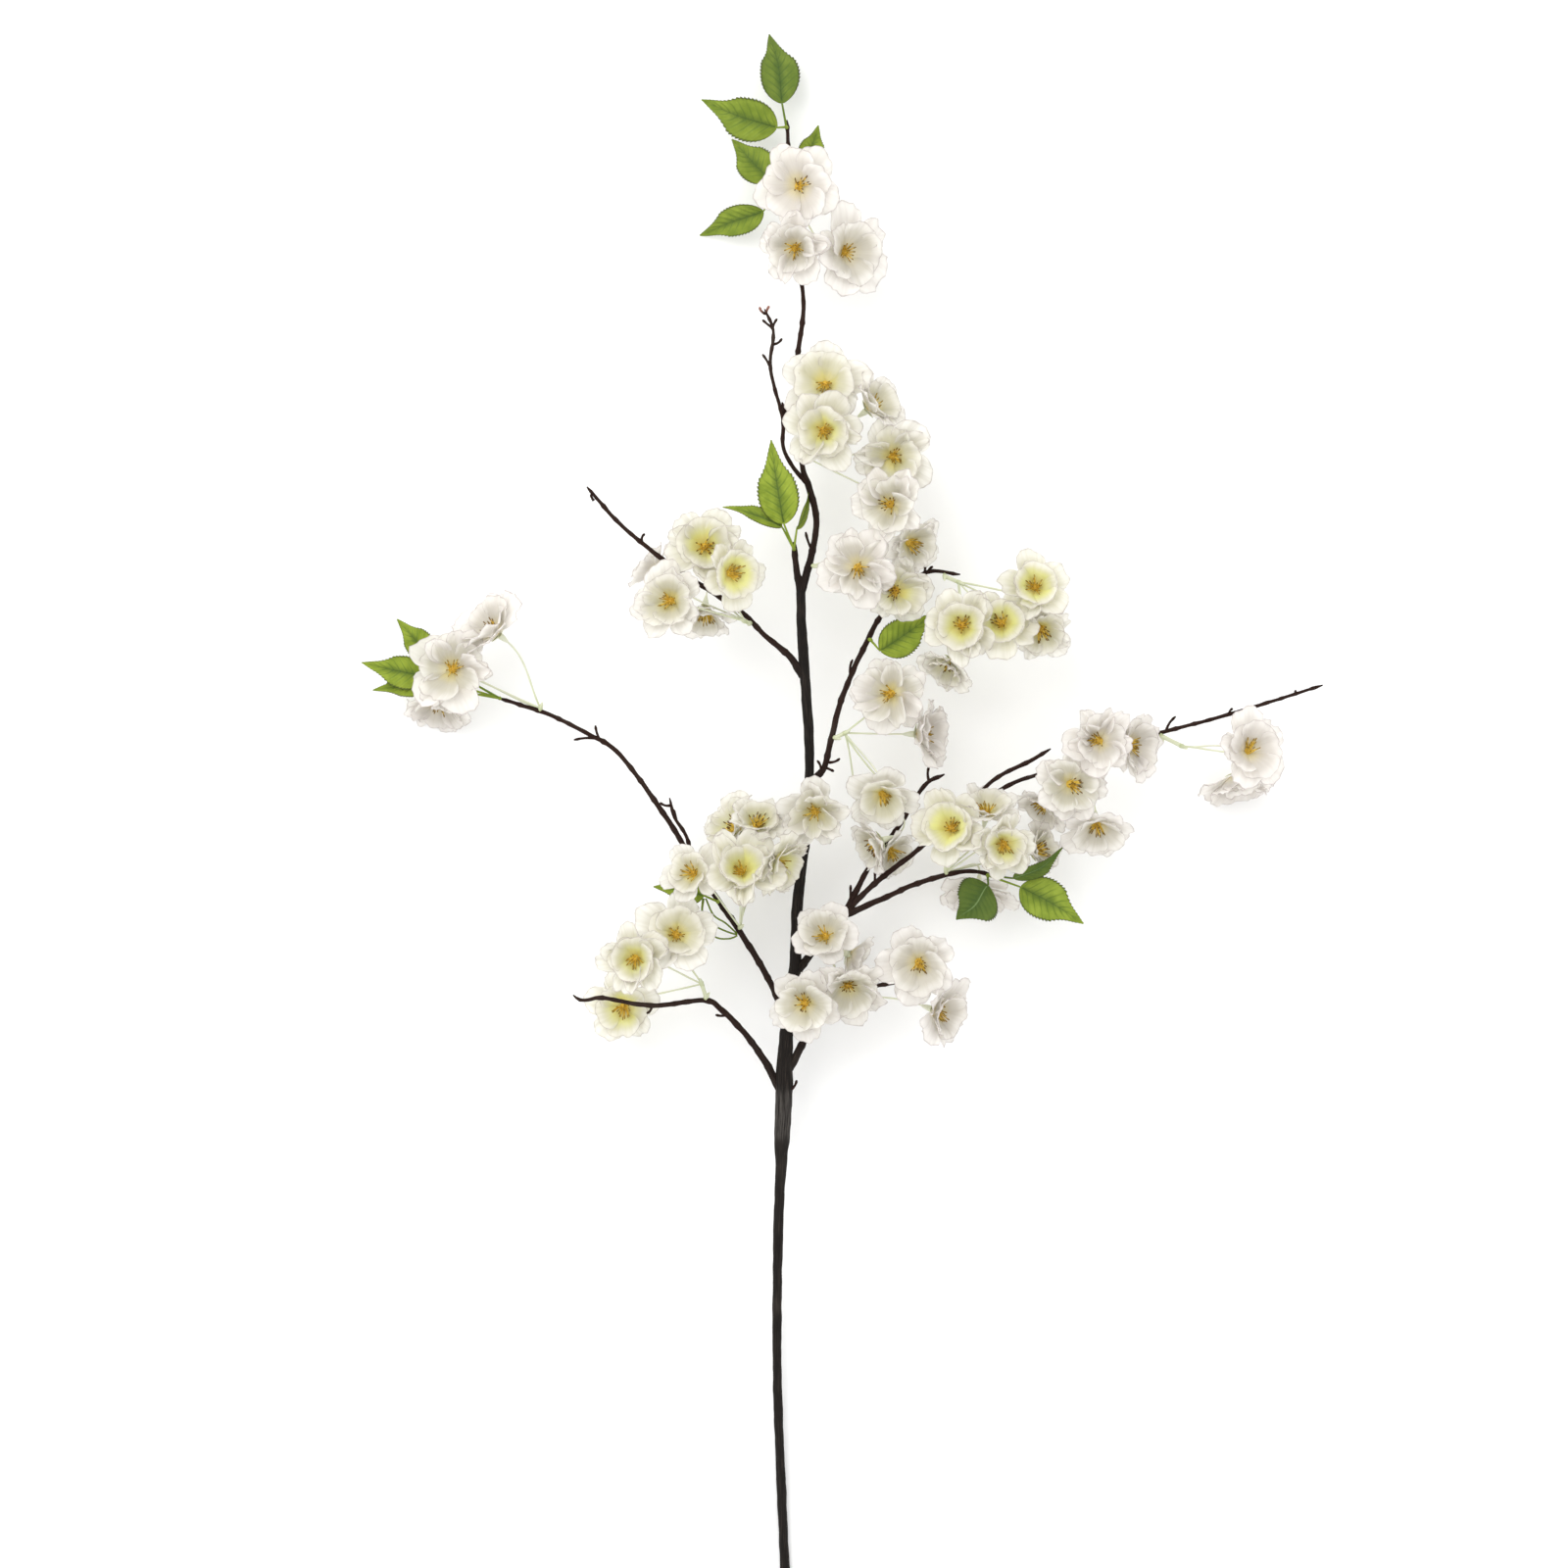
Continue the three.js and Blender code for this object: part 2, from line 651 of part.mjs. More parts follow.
// One leaf cut from a sheet together with its stalk: a folded blade with a toothed edge
function leaf([x0, y0, z0, x1, y1, z1, width, roll], start) {
  const base = place(x0, y0, z0);
  const tip = place(x1, y1, z1);
  const axis = tip.clone().sub(base);
  const upright = new THREE.Vector3(0, 0, 1);
  const along = axis.clone().normalize();
  const across = upright.clone().cross(axis).normalize().applyAxisAngle(along, radians(roll));
  const up = along.clone().cross(across);
  const half = width / 2;
  const point = (u, v) => {
    const side = v * half * 2.49 * u ** 0.55 * (1 - u) ** 0.8;
    const rise = leafFold * Math.abs(side) + leafArch * axis.length() * 4 * u * (1 - u);
    return base
      .clone()
      .addScaledVector(axis, u)
      .addScaledVector(across, side)
      .addScaledVector(up, rise);
  };
  const points = [];
  const triangles = [];
  const middle = start.clone().lerp(base, 0.5).addScaledVector(upright, 1);
  const stalk = [start, middle, base];
  stalk.forEach((at, i) => {
    const onward = i < 2 ? stalk[i + 1].clone().sub(at) : axis;
    const aside = i < 2 ? upright.clone().cross(onward).normalize() : across;
    points.push(at.clone().addScaledVector(aside, -leafStalkWidth / 2));
    points.push(at.clone().addScaledVector(aside, leafStalkWidth / 2));
    if (i === 0) return;
    const n = points.length;
    triangles.push(n - 4, n - 2, n - 1, n - 4, n - 1, n - 3);
  });
  const rib = [];
  for (const u of [0.25, 0.5, 0.75, 1]) rib.push({ u, index: points.push(point(u, 0)) - 1 });
  triangles.push(4, rib[0].index, 5);
  for (const side of [-1, 1]) {
    const edge = [{ u: 0, index: side < 0 ? 4 : 5 }];
    for (let k = 0; k < leafTeeth; k++) {
      const notch = 0.06 + (0.84 * k) / leafTeeth;
      const tooth = 0.06 + (0.84 * (k + 0.8)) / leafTeeth;
      edge.push({ u: notch, index: points.push(point(notch, 0.9 * side)) - 1 });
      edge.push({ u: tooth, index: points.push(point(tooth, 1.04 * side)) - 1 });
    }
    edge.push(rib[rib.length - 1]);
    let a = 0;
    let b = 0;
    while (a < rib.length - 1 || b < edge.length - 1) {
      const ribNext = a < rib.length - 1 ? rib[a + 1].u : 2;
      const edgeNext = b < edge.length - 1 ? edge[b + 1].u : 2;
      const byRib = ribNext < edgeNext;
      const corners = [rib[a].index, edge[b].index, byRib ? rib[a + 1].index : edge[b + 1].index];
      if (byRib) a += 1;
      else b += 1;
      if (new Set(corners).size < 3) continue;
      triangles.push(...(side > 0 ? corners.reverse() : corners));
    }
  }
  return thicken(points, triangles, clothThickness);
}

// Meshes
const group = new THREE.Group();

function addMesh(name, solid, look) {
  const mesh = solid.getMesh();
  const positions = new Float32Array(mesh.numVert * 3);
  for (let i = 0; i < mesh.numVert; i++) {
    positions.set(mesh.vertProperties.subarray(i * mesh.numProp, i * mesh.numProp + 3), i * 3);
  }
  const geometry = new THREE.BufferGeometry();
  geometry.setAttribute("position", new THREE.BufferAttribute(positions, 3));
  geometry.setIndex(new THREE.BufferAttribute(mesh.triVerts, 1));
  geometry.computeVertexNormals();
  const made = new THREE.Mesh(geometry, new THREE.MeshStandardMaterial(look));
  made.name = name;
  group.add(made);
}

// The cut end's underside is worn to the small flat that it rests on
const branch = mainBody(wood(0)).trimByPlane([0, 0, 1], 0);
const room = wood(clearance);
addMesh("branch", branch, woodLook);

let seed = 0;
for (const [name, spray] of Object.entries(sprays)) {
  const blooms = spray.blooms.map(bloomFrame);
  const fork = spray.fork && place(...spray.fork);
  const budAt = budPlace(spray.seat, fork ? [fork] : blooms.map((bloom) => bloom.hub), 0);
  const start = fork || budAt;
  const pieces = [bud(budAt, budRadius), ...blooms.map((bloom) => bloomStalk(bloom, start))];
  if (fork) {
    pieces.push(bud(fork, forkRadius));
    pieces.push(tube([{ at: budAt, radius: 1.2 }, { at: fork, radius: 1 }], stalkSides));
  }
  addMesh(`${name}_stalks`, mainBody(unite(pieces).subtract(room)), stalkLook);
  const petals = unite(
    blooms.map((bloom) => {
      seed += 1;
      return bloomPetals(bloom, seed);
    }),
  );
  petals.decompose().forEach((body, i) => addMesh(`${name}_petals_${i + 1}`, body, petalLook));
}

for (const [name, leafGroup] of Object.entries(leafGroups)) {
  const bases = leafGroup.leaves.map(([x, y, z]) => place(x, y, z));
  const budAt = budPlace(leafGroup.seat, bases, leafGroup.leaves.length + 1);
  const leaves = leafGroup.leaves.map((row) => leaf(row, budAt));
  addMesh(name, mainBody(unite([bud(budAt, budRadius), ...leaves]).subtract(room)), leafLook);
}

export default group;
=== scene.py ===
# Cherry blossom stem: fine petals, stamens, calyces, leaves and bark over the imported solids.
# Places come from the solids' own table: photo pixels across and down, and millimetres of height.
import bpy
import math
import numpy as np
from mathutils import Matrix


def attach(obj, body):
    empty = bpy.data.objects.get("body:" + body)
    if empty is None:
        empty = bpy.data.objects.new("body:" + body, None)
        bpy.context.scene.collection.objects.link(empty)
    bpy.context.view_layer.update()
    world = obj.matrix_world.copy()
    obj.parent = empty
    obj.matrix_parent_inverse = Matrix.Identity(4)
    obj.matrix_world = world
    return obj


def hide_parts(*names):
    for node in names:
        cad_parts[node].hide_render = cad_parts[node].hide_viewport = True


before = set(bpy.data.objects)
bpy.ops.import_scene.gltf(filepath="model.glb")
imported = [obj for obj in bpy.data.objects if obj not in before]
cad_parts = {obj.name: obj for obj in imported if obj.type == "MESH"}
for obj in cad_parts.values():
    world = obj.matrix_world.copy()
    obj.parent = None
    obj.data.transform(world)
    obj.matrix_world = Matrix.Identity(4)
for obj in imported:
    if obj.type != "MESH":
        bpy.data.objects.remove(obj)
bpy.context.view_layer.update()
scene = bpy.context.scene
nodeNames = list(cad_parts)
triangles = []  # of each piece, for the printed lines
print("frame loaded,", len(nodeNames), "nodes")

photoGrid = {"mmPerPx": 0.66, "middleX": 860, "middleY": 838}
meshMaking = {"lowest": 0.25, "sharpAngle": 55}  # mm above the floor, degrees


def place(x, y, height):
    return np.array([(x - photoGrid["middleX"]) * photoGrid["mmPerPx"],
                     (photoGrid["middleY"] - y) * photoGrid["mmPerPx"], height], float)


def wobble(seed, order):  # an even value from 0 to 1, the same on every run
    value = math.sin(seed * 12.9898 + order * 78.233) * 43758.5453
    return value - math.floor(value)


def addObject(name, data):
    made = bpy.data.objects.new(name, data)
    scene.collection.objects.link(made)
    return made


def unit(vector):
    return vector / np.linalg.norm(vector)


def circle(sides):  # the angles round a tube
    return np.linspace(0, 2 * math.pi, sides, endpoint=False)


def smoothPath(points, step):  # a smooth curve through rows of a place and one more value
    rows = np.array(points, float)
    rows = np.vstack([2 * rows[0] - rows[1], rows, 2 * rows[-1] - rows[-2]])
    made = []
    for i in range(1, len(rows) - 2):
        a, b, c, d = rows[i - 1:i + 3]
        count = max(2, int(np.linalg.norm((c - b)[:3]) / step))
        for t in np.arange(count) / count:
            made.append(0.5 * (2 * b + (c - a) * t + (2 * a - 5 * b + 4 * c - d) * t ** 2
                               + (3 * b - a - 3 * c + d) * t ** 3))
    made.append(rows[-2])
    return np.array(made)


# Mesh making: every part of a piece goes into one Pen, in millimetres, with a mark of three values
# and a tone for the material at each point
class Pen:
    def __init__(self):
        self.points = []
        self.marks = []
        self.tones = []
        self.faces = []
        self.count = 0

    def add(self, points, marks, tone):
        first = self.count
        self.points.append(points.reshape(-1, 3))
        self.marks.append(np.broadcast_to(marks, points.shape).reshape(-1, 3))
        self.tones.append(np.broadcast_to(tone, points.shape[:-1]).reshape(-1))
        self.count += self.points[-1].shape[0]
        return first

    # A grid of points as quads, closed round its second direction where ring is set
    def grid(self, points, marks, tone, ring=False, flip=False):
        rows, columns = points.shape[:2]
        first = self.add(points, marks, tone)
        steps = columns if ring else columns - 1
        i, j = np.meshgrid(np.arange(rows - 1), np.arange(steps), indexing="ij")
        here = i * columns + j
        beside = i * columns + (j + 1) % columns
        quads = np.stack([here, beside, beside + columns, here + columns], -1)
        quads = quads.reshape(-1, 4) + first
        self.faces.extend((quads[:, ::-1] if flip else quads).tolist())
        return first

    # A thin sheet with both faces and a wall round its edge
    def blade(self, points, marks, tone, thickness):
        rows, columns = points.shape[:2]
        normal = np.cross(np.gradient(points, axis=1), np.gradient(points, axis=0))
        normal /= np.maximum(np.linalg.norm(normal, axis=2, keepdims=True), 1e-9)
        top = self.grid(points + normal * thickness / 2, marks, tone)
        under = self.grid(points - normal * thickness / 2, marks, tone, flip=True)
        index = np.arange(rows * columns).reshape(rows, columns)
        rim = np.concatenate([index[0, :-1], index[:-1, -1], index[-1, :0:-1], index[:0:-1, 0]])
        after = np.roll(rim, -1)
        wall = np.stack([top + rim, under + rim, under + after, top + after], -1)
        self.faces.extend(wall.tolist())

    # A tube through a path, closed at both ends; the radius may differ along it and round it
    def tube(self, path, radii, sides, marks, tone):
        path = np.asarray(path, float)
        along = np.gradient(path, axis=0)
        along /= np.linalg.norm(along, axis=1, keepdims=True)
        angles = circle(sides)
        radii = np.asarray(radii, float)
        radii = np.broadcast_to(radii[:, None] if radii.ndim == 1 else radii, (len(path), sides))
        normal = np.array([0, 0, 1.0]) if abs(along[0][2]) < 0.8 else np.array([1.0, 0, 0])
        rings = np.zeros((len(path), sides, 3))
        for i, way in enumerate(along):
            normal = unit(normal - way * np.dot(normal, way))
            other = np.cross(way, normal)
            turn = np.cos(angles)[:, None] * normal + np.sin(angles)[:, None] * other
            rings[i] = path[i] + radii[i][:, None] * turn
        first = self.grid(rings, marks, tone, ring=True)
        last = first + (len(path) - 1) * sides
        self.faces.append(list(range(first + sides - 1, first - 1, -1)))
        self.faces.append(list(range(last, last + sides)))

    def piece(self, name, material, nodes, slot):
        points = np.concatenate(self.points)
        points[:, 2] = np.maximum(points[:, 2], meshMaking["lowest"])
        mesh = bpy.data.meshes.new(name)
        mesh.from_pydata((points * 0.001).tolist(), [], self.faces)
        mark = mesh.attributes.new("mark", "FLOAT_VECTOR", "POINT")
        mark.data.foreach_set("vector", np.concatenate(self.marks).astype(np.float32).ravel())
        tone = mesh.attributes.new("tone", "FLOAT", "POINT")
        tone.data.foreach_set("value", np.concatenate(self.tones).astype(np.float32))
        mesh.materials.append(material)
        mesh.shade_smooth()
        mesh.set_sharp_from_angle(angle=math.radians(meshMaking["sharpAngle"]))
        made = addObject(name, mesh)
        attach(made, "root")
        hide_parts(*nodes)
        triangles.append(sum(len(face) - 2 for face in self.faces))


# Materials: a Wire holds a socket and turns expressions into Math nodes
class Wire:
    def __init__(self, surface, socket):
        self.surface = surface
        self.socket = socket

    def mathNode(self, operation, a, b=0.0):
        return self.surface.node("ShaderNodeMath", {"operation": operation}, {0: a, 1: b})

    def __add__(self, other):
        return self.mathNode("ADD", self, other)

    def __radd__(self, other):
        return self.mathNode("ADD", other, self)

    def __sub__(self, other):
        return self.mathNode("SUBTRACT", self, other)

    def __rsub__(self, other):
        return self.mathNode("SUBTRACT", other, self)

    def __mul__(self, other):
        return self.mathNode("MULTIPLY", self, other)

    def __abs__(self):
        return self.mathNode("ABSOLUTE", self)

    def fract(self):
        return self.mathNode("FRACT", self)

    def sine(self):
        return self.mathNode("SINE", self)

    def larger(self, other):
        return self.mathNode("MAXIMUM", self, other)

    def between(self, low, high):  # 0 below low and 1 above high, with an eased step
        return self.surface.node("ShaderNodeMapRange", {"interpolation_type": "SMOOTHSTEP"},
                                 {"Value": self, "From Min": low, "From Max": high})


class Surface:
    def __init__(self, name):
        self.material = bpy.data.materials.new(name)
        self.material.use_nodes = True
        self.tree = self.material.node_tree
        self.tree.nodes.clear()
        self.mark = self.node("ShaderNodeAttribute", {"attribute_name": "mark"}, output=1)  # as a vector
        parts = self.node("ShaderNodeSeparateXYZ", None, {0: self.mark}).socket.node.outputs
        self.first, self.second, self.third = [Wire(self, part) for part in parts]
        self.tone = self.node("ShaderNodeAttribute", {"attribute_name": "tone"}, output=2)  # as a number
        self.place = self.node("ShaderNodeTexCoord", output=3)  # in metres

    def node(self, kind, settings=None, values=None, output=0):
        made = self.tree.nodes.new(kind)
        for key, value in (settings or {}).items():
            setattr(made, key, value)
        for key, value in (values or {}).items():
            if isinstance(value, Wire):
                self.tree.links.new(value.socket, made.inputs[key])
            else:
                made.inputs[key].default_value = value
        return Wire(self, made.outputs[output] if made.outputs else None)

    def stretched(self, vector, scale):
        return self.node("ShaderNodeVectorMath", {"operation": "MULTIPLY"}, {0: vector, 1: scale})

    def noise(self, vector, scale, detail=3.0, rough=0.5):
        return self.node("ShaderNodeTexNoise", None,
                         {"Vector": vector, "Scale": scale, "Detail": detail, "Roughness": rough})

    def mix(self, factor, a, b):  # 6, 7 and output 2 are the node's colours
        return self.node("ShaderNodeMix", {"data_type": "RGBA"}, {0: factor, 6: a, 7: b}, output=2)

    def coats(self, body, layers):  # each layer is its share and its colour over what is there
        for share, tint in layers:
            body = self.mix(share, body, tint)
        return body

    def bump(self, height, strength, distance):
        return self.node("ShaderNodeBump", None,
                         {"Height": height, "Strength": strength, "Distance": distance})

    # The closing shader: a principled one, with a share of light let through the cloth
    def close(self, look, body, rough, normal, through=None):
        made = self.node("ShaderNodeBsdfPrincipled", None, {
            "Base Color": body, "Roughness": rough, "Normal": normal,
            "Sheen Weight": look.get("sheen", 0.0), "Specular IOR Level": look["gloss"]})
        if through:
            thin = self.node("ShaderNodeBsdfTranslucent", None, {"Color": look["through"]})
            made = self.node("ShaderNodeMixShader", None, {0: through, 1: made, 2: thin})
        self.node("ShaderNodeOutputMaterial", None, {0: made})
        return self.material


def colour(red, green, blue):  # screen values from 0 to 255, as light
    return tuple((value / 255) ** 2.2 for value in (red, green, blue)) + (1,)


# Petal cloth: ivory, with painted shade that greys the middle of a petal and painted light that
# whitens its edge, as light let through the thin cloth, and its root; a lime throat that differs from
# bloom to bloom; whiter, pinker blooms where the lime is low, partly their own colour and partly
# painted light; and a faint pink-grey painted shade line along the edge. mark is root to tip, edge
# to edge and the petal's own number; tone is the strength of the throat. A single scale is a
# noise's for each metre, three are scales along the mark
petalFinish = {
    # the middle colour is painted shade; the next one is painted light for a petal's edge and root
    "middle": colour(196, 192, 181), "paintedLight": colour(254, 253, 252),
    "streak": colour(186, 181, 170), "streaks": (0.9, 6.5, 30.0),
    "cloud": colour(202, 197, 187), "clouds": 110.0,
    "own": colour(232, 228, 222), "whiteBloomAndPaintedLight": colour(250, 243, 243),
    "limeBloom": colour(232, 230, 187), "throat": colour(238, 238, 146),
    # the petal's pink-grey edge colour is a painted shade line along its edge
    "deep": colour(228, 208, 82), "cutEdgeAndRimShade": colour(160, 146, 142), "weave": 2600.0, "ribs": 26,
    "through": colour(253, 252, 249), "sheen": 0.15, "gloss": 0.15,
}


def petalCloth(look):
    cloth = Surface("petalCloth")
    along, across, own, tone = cloth.first, cloth.second, cloth.third, cloth.tone
    cloud = cloth.noise(cloth.place, look["clouds"], 4.0)
    weave = cloth.noise(cloth.place, look["weave"], 2.0)
    streak = cloth.noise(cloth.stretched(cloth.mark, look["streaks"]), 1.0, 2.0)
    streaked = streak.between(0.42, 0.66)
    rim = (abs(across) * along.between(0.25, 0.6)).larger(along)
    # light: where painted light whitens the petal, at its edge and its root; elsewhere the middle's
    # painted shade stays
    light = rim.between(0.6, 0.9).larger((1 - along.between(0.05, 0.4)) * 0.7)
    lime = (tone * 0.5 + 0.5) * (0.7 + own * 0.5 + (cloud - 0.5) * 0.5)
    throat = ((tone * 0.8 + 0.25 - along).between(0.0, 0.9) * lime).between(0.0, 0.85)
    deep = (1 - along.between(0.0, 0.5)) * lime
    # outline: a painted shade line along the petal's edge, which also lets less light through
    outline = rim.between(0.95, 1.0) * (0.3 + cloud)
    body = cloth.coats(cloth.mix(light, look["middle"], look["paintedLight"]), [
        (streaked * 0.45, look["streak"]),
        (cloud.between(0.38, 0.68) * 0.2, look["cloud"]),
        (own * 0.2, look["own"]),
        # whiter, pinker low-lime blooms: partly their own colour and partly painted light against their
        # shade
        ((1 - tone.between(0.12, 0.4)) * 0.42, look["whiteBloomAndPaintedLight"]),
        (tone.between(0.15, 0.7) * (1 - light * 0.5) * 0.55, look["limeBloom"]),
        (throat * 0.85, look["throat"]),
        (deep * 0.65, look["deep"]),
        (outline * 0.8, look["cutEdgeAndRimShade"]),
    ])
    through = 0.6 + light * 0.12 - outline * 0.45 - throat * 0.15 - streaked * 0.12
    ribs = (across * look["ribs"] + cloud * 5).sine() * (1 - along * 0.5)
    height = ribs * 0.2 + weave * 0.4 + cloud + streak * 1.5
    return cloth.close(look, body, 0.72 + cloud * 0.2, cloth.bump(height, 0.3, 0.0006), through)


# Moulded stalks: pale green plastic, greener towards the bud as tone says, with no use for marks
stalkFinish = {
    "pale": colour(243, 243, 229), "green": colour(158, 170, 104), "cloud": colour(222, 224, 190),
    "clouds": 160.0, "through": colour(226, 228, 184), "throughShare": 0.12, "gloss": 0.4,
}


def stalkPlastic(look):
    plastic = Surface("stalkPlastic")
    cloud = plastic.noise(plastic.place, look["clouds"], 3.0)
    body = plastic.mix(plastic.tone, look["pale"], look["green"])
    body = plastic.mix(cloud.between(0.35, 0.75) * 0.4, body, look["cloud"])
    return plastic.close(look, body, 0.42 + cloud * 0.2, plastic.bump(cloud, 0.25, 0.0003),
                         look["throughShare"])


# Stamens: golden threads with brown heads. mark is along, unused and own number; tone is how brown
# the heads are
stamenFinish = {
    "gold": colour(230, 200, 92), "amber": colour(204, 166, 62), "head": colour(94, 68, 28),
    "speck": colour(168, 122, 40), "specks": 700.0, "gloss": 0.35,
}


def stamenThread(look):
    thread = Surface("stamenThread")
    speck = thread.noise(thread.place, look["specks"], 3.0)
    body = thread.coats(thread.mix(thread.third, look["gold"], look["amber"]), [
        (thread.first.between(0.78, 0.9) * thread.tone, look["head"]),
        (speck.between(0.5, 0.8) * 0.3, look["speck"]),
    ])
    return thread.close(look, body, 0.5 + speck * 0.2, thread.bump(speck, 0.3, 0.0002))


# Leaf cloth: lime green, feathered darker along midrib and veins, brown at the cut teeth.
# mark is base to tip, edge to edge and the leaf's own number; tone is how dark the leaf is
leafFinish = {
    "light": colour(157, 175, 60), "mid": colour(128, 148, 46), "vein": colour(80, 110, 38),
    "feather": colour(66, 92, 34), "dark": colour(52, 80, 36), "rib": colour(62, 86, 32),
    "paleRib": colour(142, 168, 106), "shadow": colour(38, 50, 26), "cutEdgeAndRimShade": colour(86, 84, 40),
    "veins": 9.5, "clouds": 120.0, "grain": 900.0, "through": colour(154, 170, 58),
    "throughShare": 0.22, "gloss": 0.35,
}


def leafCloth(look):
    cloth = Surface("leafCloth")
    along, across, own, tone = cloth.first, cloth.second, cloth.third, cloth.tone
    reach = abs(across)
    cloud = cloth.noise(cloth.place, look["clouds"], 4.0)
    fine = cloth.noise(cloth.place, look["grain"], 3.0)
    vein = (along * look["veins"] - reach * 1.9 + cloud * 0.25 + own).fract()
    line = 1 - abs(vein - 0.5).between(0.0, 0.16)
    feather = (1 - reach.between(0.02, 0.42)) * (1 - along.between(0.45, 0.95))
    rib = cloth.mix(tone.between(0.6, 0.72), look["rib"], look["paleRib"])
    body = cloth.coats(cloth.mix(cloud.between(0.3, 0.7), look["light"], look["mid"]), [
        (line * (1 - reach.between(0.3, 1.0)) * 0.65, look["vein"]),
        (feather * (0.2 + fine * 0.8), look["feather"]),
        (tone, look["dark"]),
        ((1 - reach.between(0.0, 0.045)) * 0.8, rib),
        (reach.between(0.9, 0.98) * 0.85, look["shadow"]),
        (reach.between(0.965, 1.0) * 0.75, look["cutEdgeAndRimShade"]),
    ])
    height = line * -0.8 + fine * 0.35 + cloud * 0.5 + (vein * 6.28).sine() * 0.6
    return cloth.close(look, body, 0.5 + cloud * 0.25, cloth.bump(height, 0.5, 0.0006),
                       look["throughShare"])


# Bark: charcoal with fine lengthwise streaks, redder on thin twigs, greyer on the stem's sleeve.
# mark is the circle round the limb and the length in cm; tone is how thin the limb is
barkFinish = {
    "stem": colour(35, 32, 30), "twig": colour(52, 35, 30), "streak": colour(78, 69, 63),
    "grain": colour(20, 18, 17), "patch": colour(90, 82, 74), "sleeve": colour(106, 102, 98),
    "pinkTip": colour(196, 138, 122), "streaks": (7.0, 7.0, 0.55), "grains": (22.0, 22.0, 2.4),
    "rings": (0.6, 0.6, 5.0), "patches": 26.0, "gloss": 0.12,
}


def barkSkin(look):
    bark = Surface("barkSkin")
    streak = bark.noise(bark.stretched(bark.mark, look["streaks"]), 1.0, 5.0, 0.6)
    grain = bark.noise(bark.stretched(bark.mark, look["grains"]), 1.0, 3.0, 0.6)
    ring = bark.noise(bark.stretched(bark.mark, look["rings"]), 1.0, 2.0)
    patch = bark.noise(bark.place, look["patches"], 3.0)
    sleeve = 1 - bark.tone.between(-0.6, 0.0)
    body = bark.coats(bark.mix(bark.tone.between(0.1, 0.9), look["stem"], look["twig"]), [
        (streak.between(0.48, 0.75) * 0.6, look["streak"]),
        (grain.between(0.55, 0.75) * 0.5, look["grain"]),
        (patch.between(0.55, 0.8) * 0.3, look["patch"]),
        (sleeve * streak.between(0.35, 0.65) * 0.45, look["sleeve"]),
        (bark.tone.between(1.1, 1.9) * 0.7, look["pinkTip"]),
    ])
    height = streak + grain * 0.6 + ring * 0.25
    return bark.close(look, body, 0.6 + grain * 0.3, bark.bump(height, 0.9, 0.001))


petalMaterial = petalCloth(petalFinish)
stalkMaterial = stalkPlastic(stalkFinish)
stamenMaterial = stamenThread(stamenFinish)
leafMaterial = leafCloth(leafFinish)
barkMaterial = barkSkin(barkFinish)
print("materials ready")

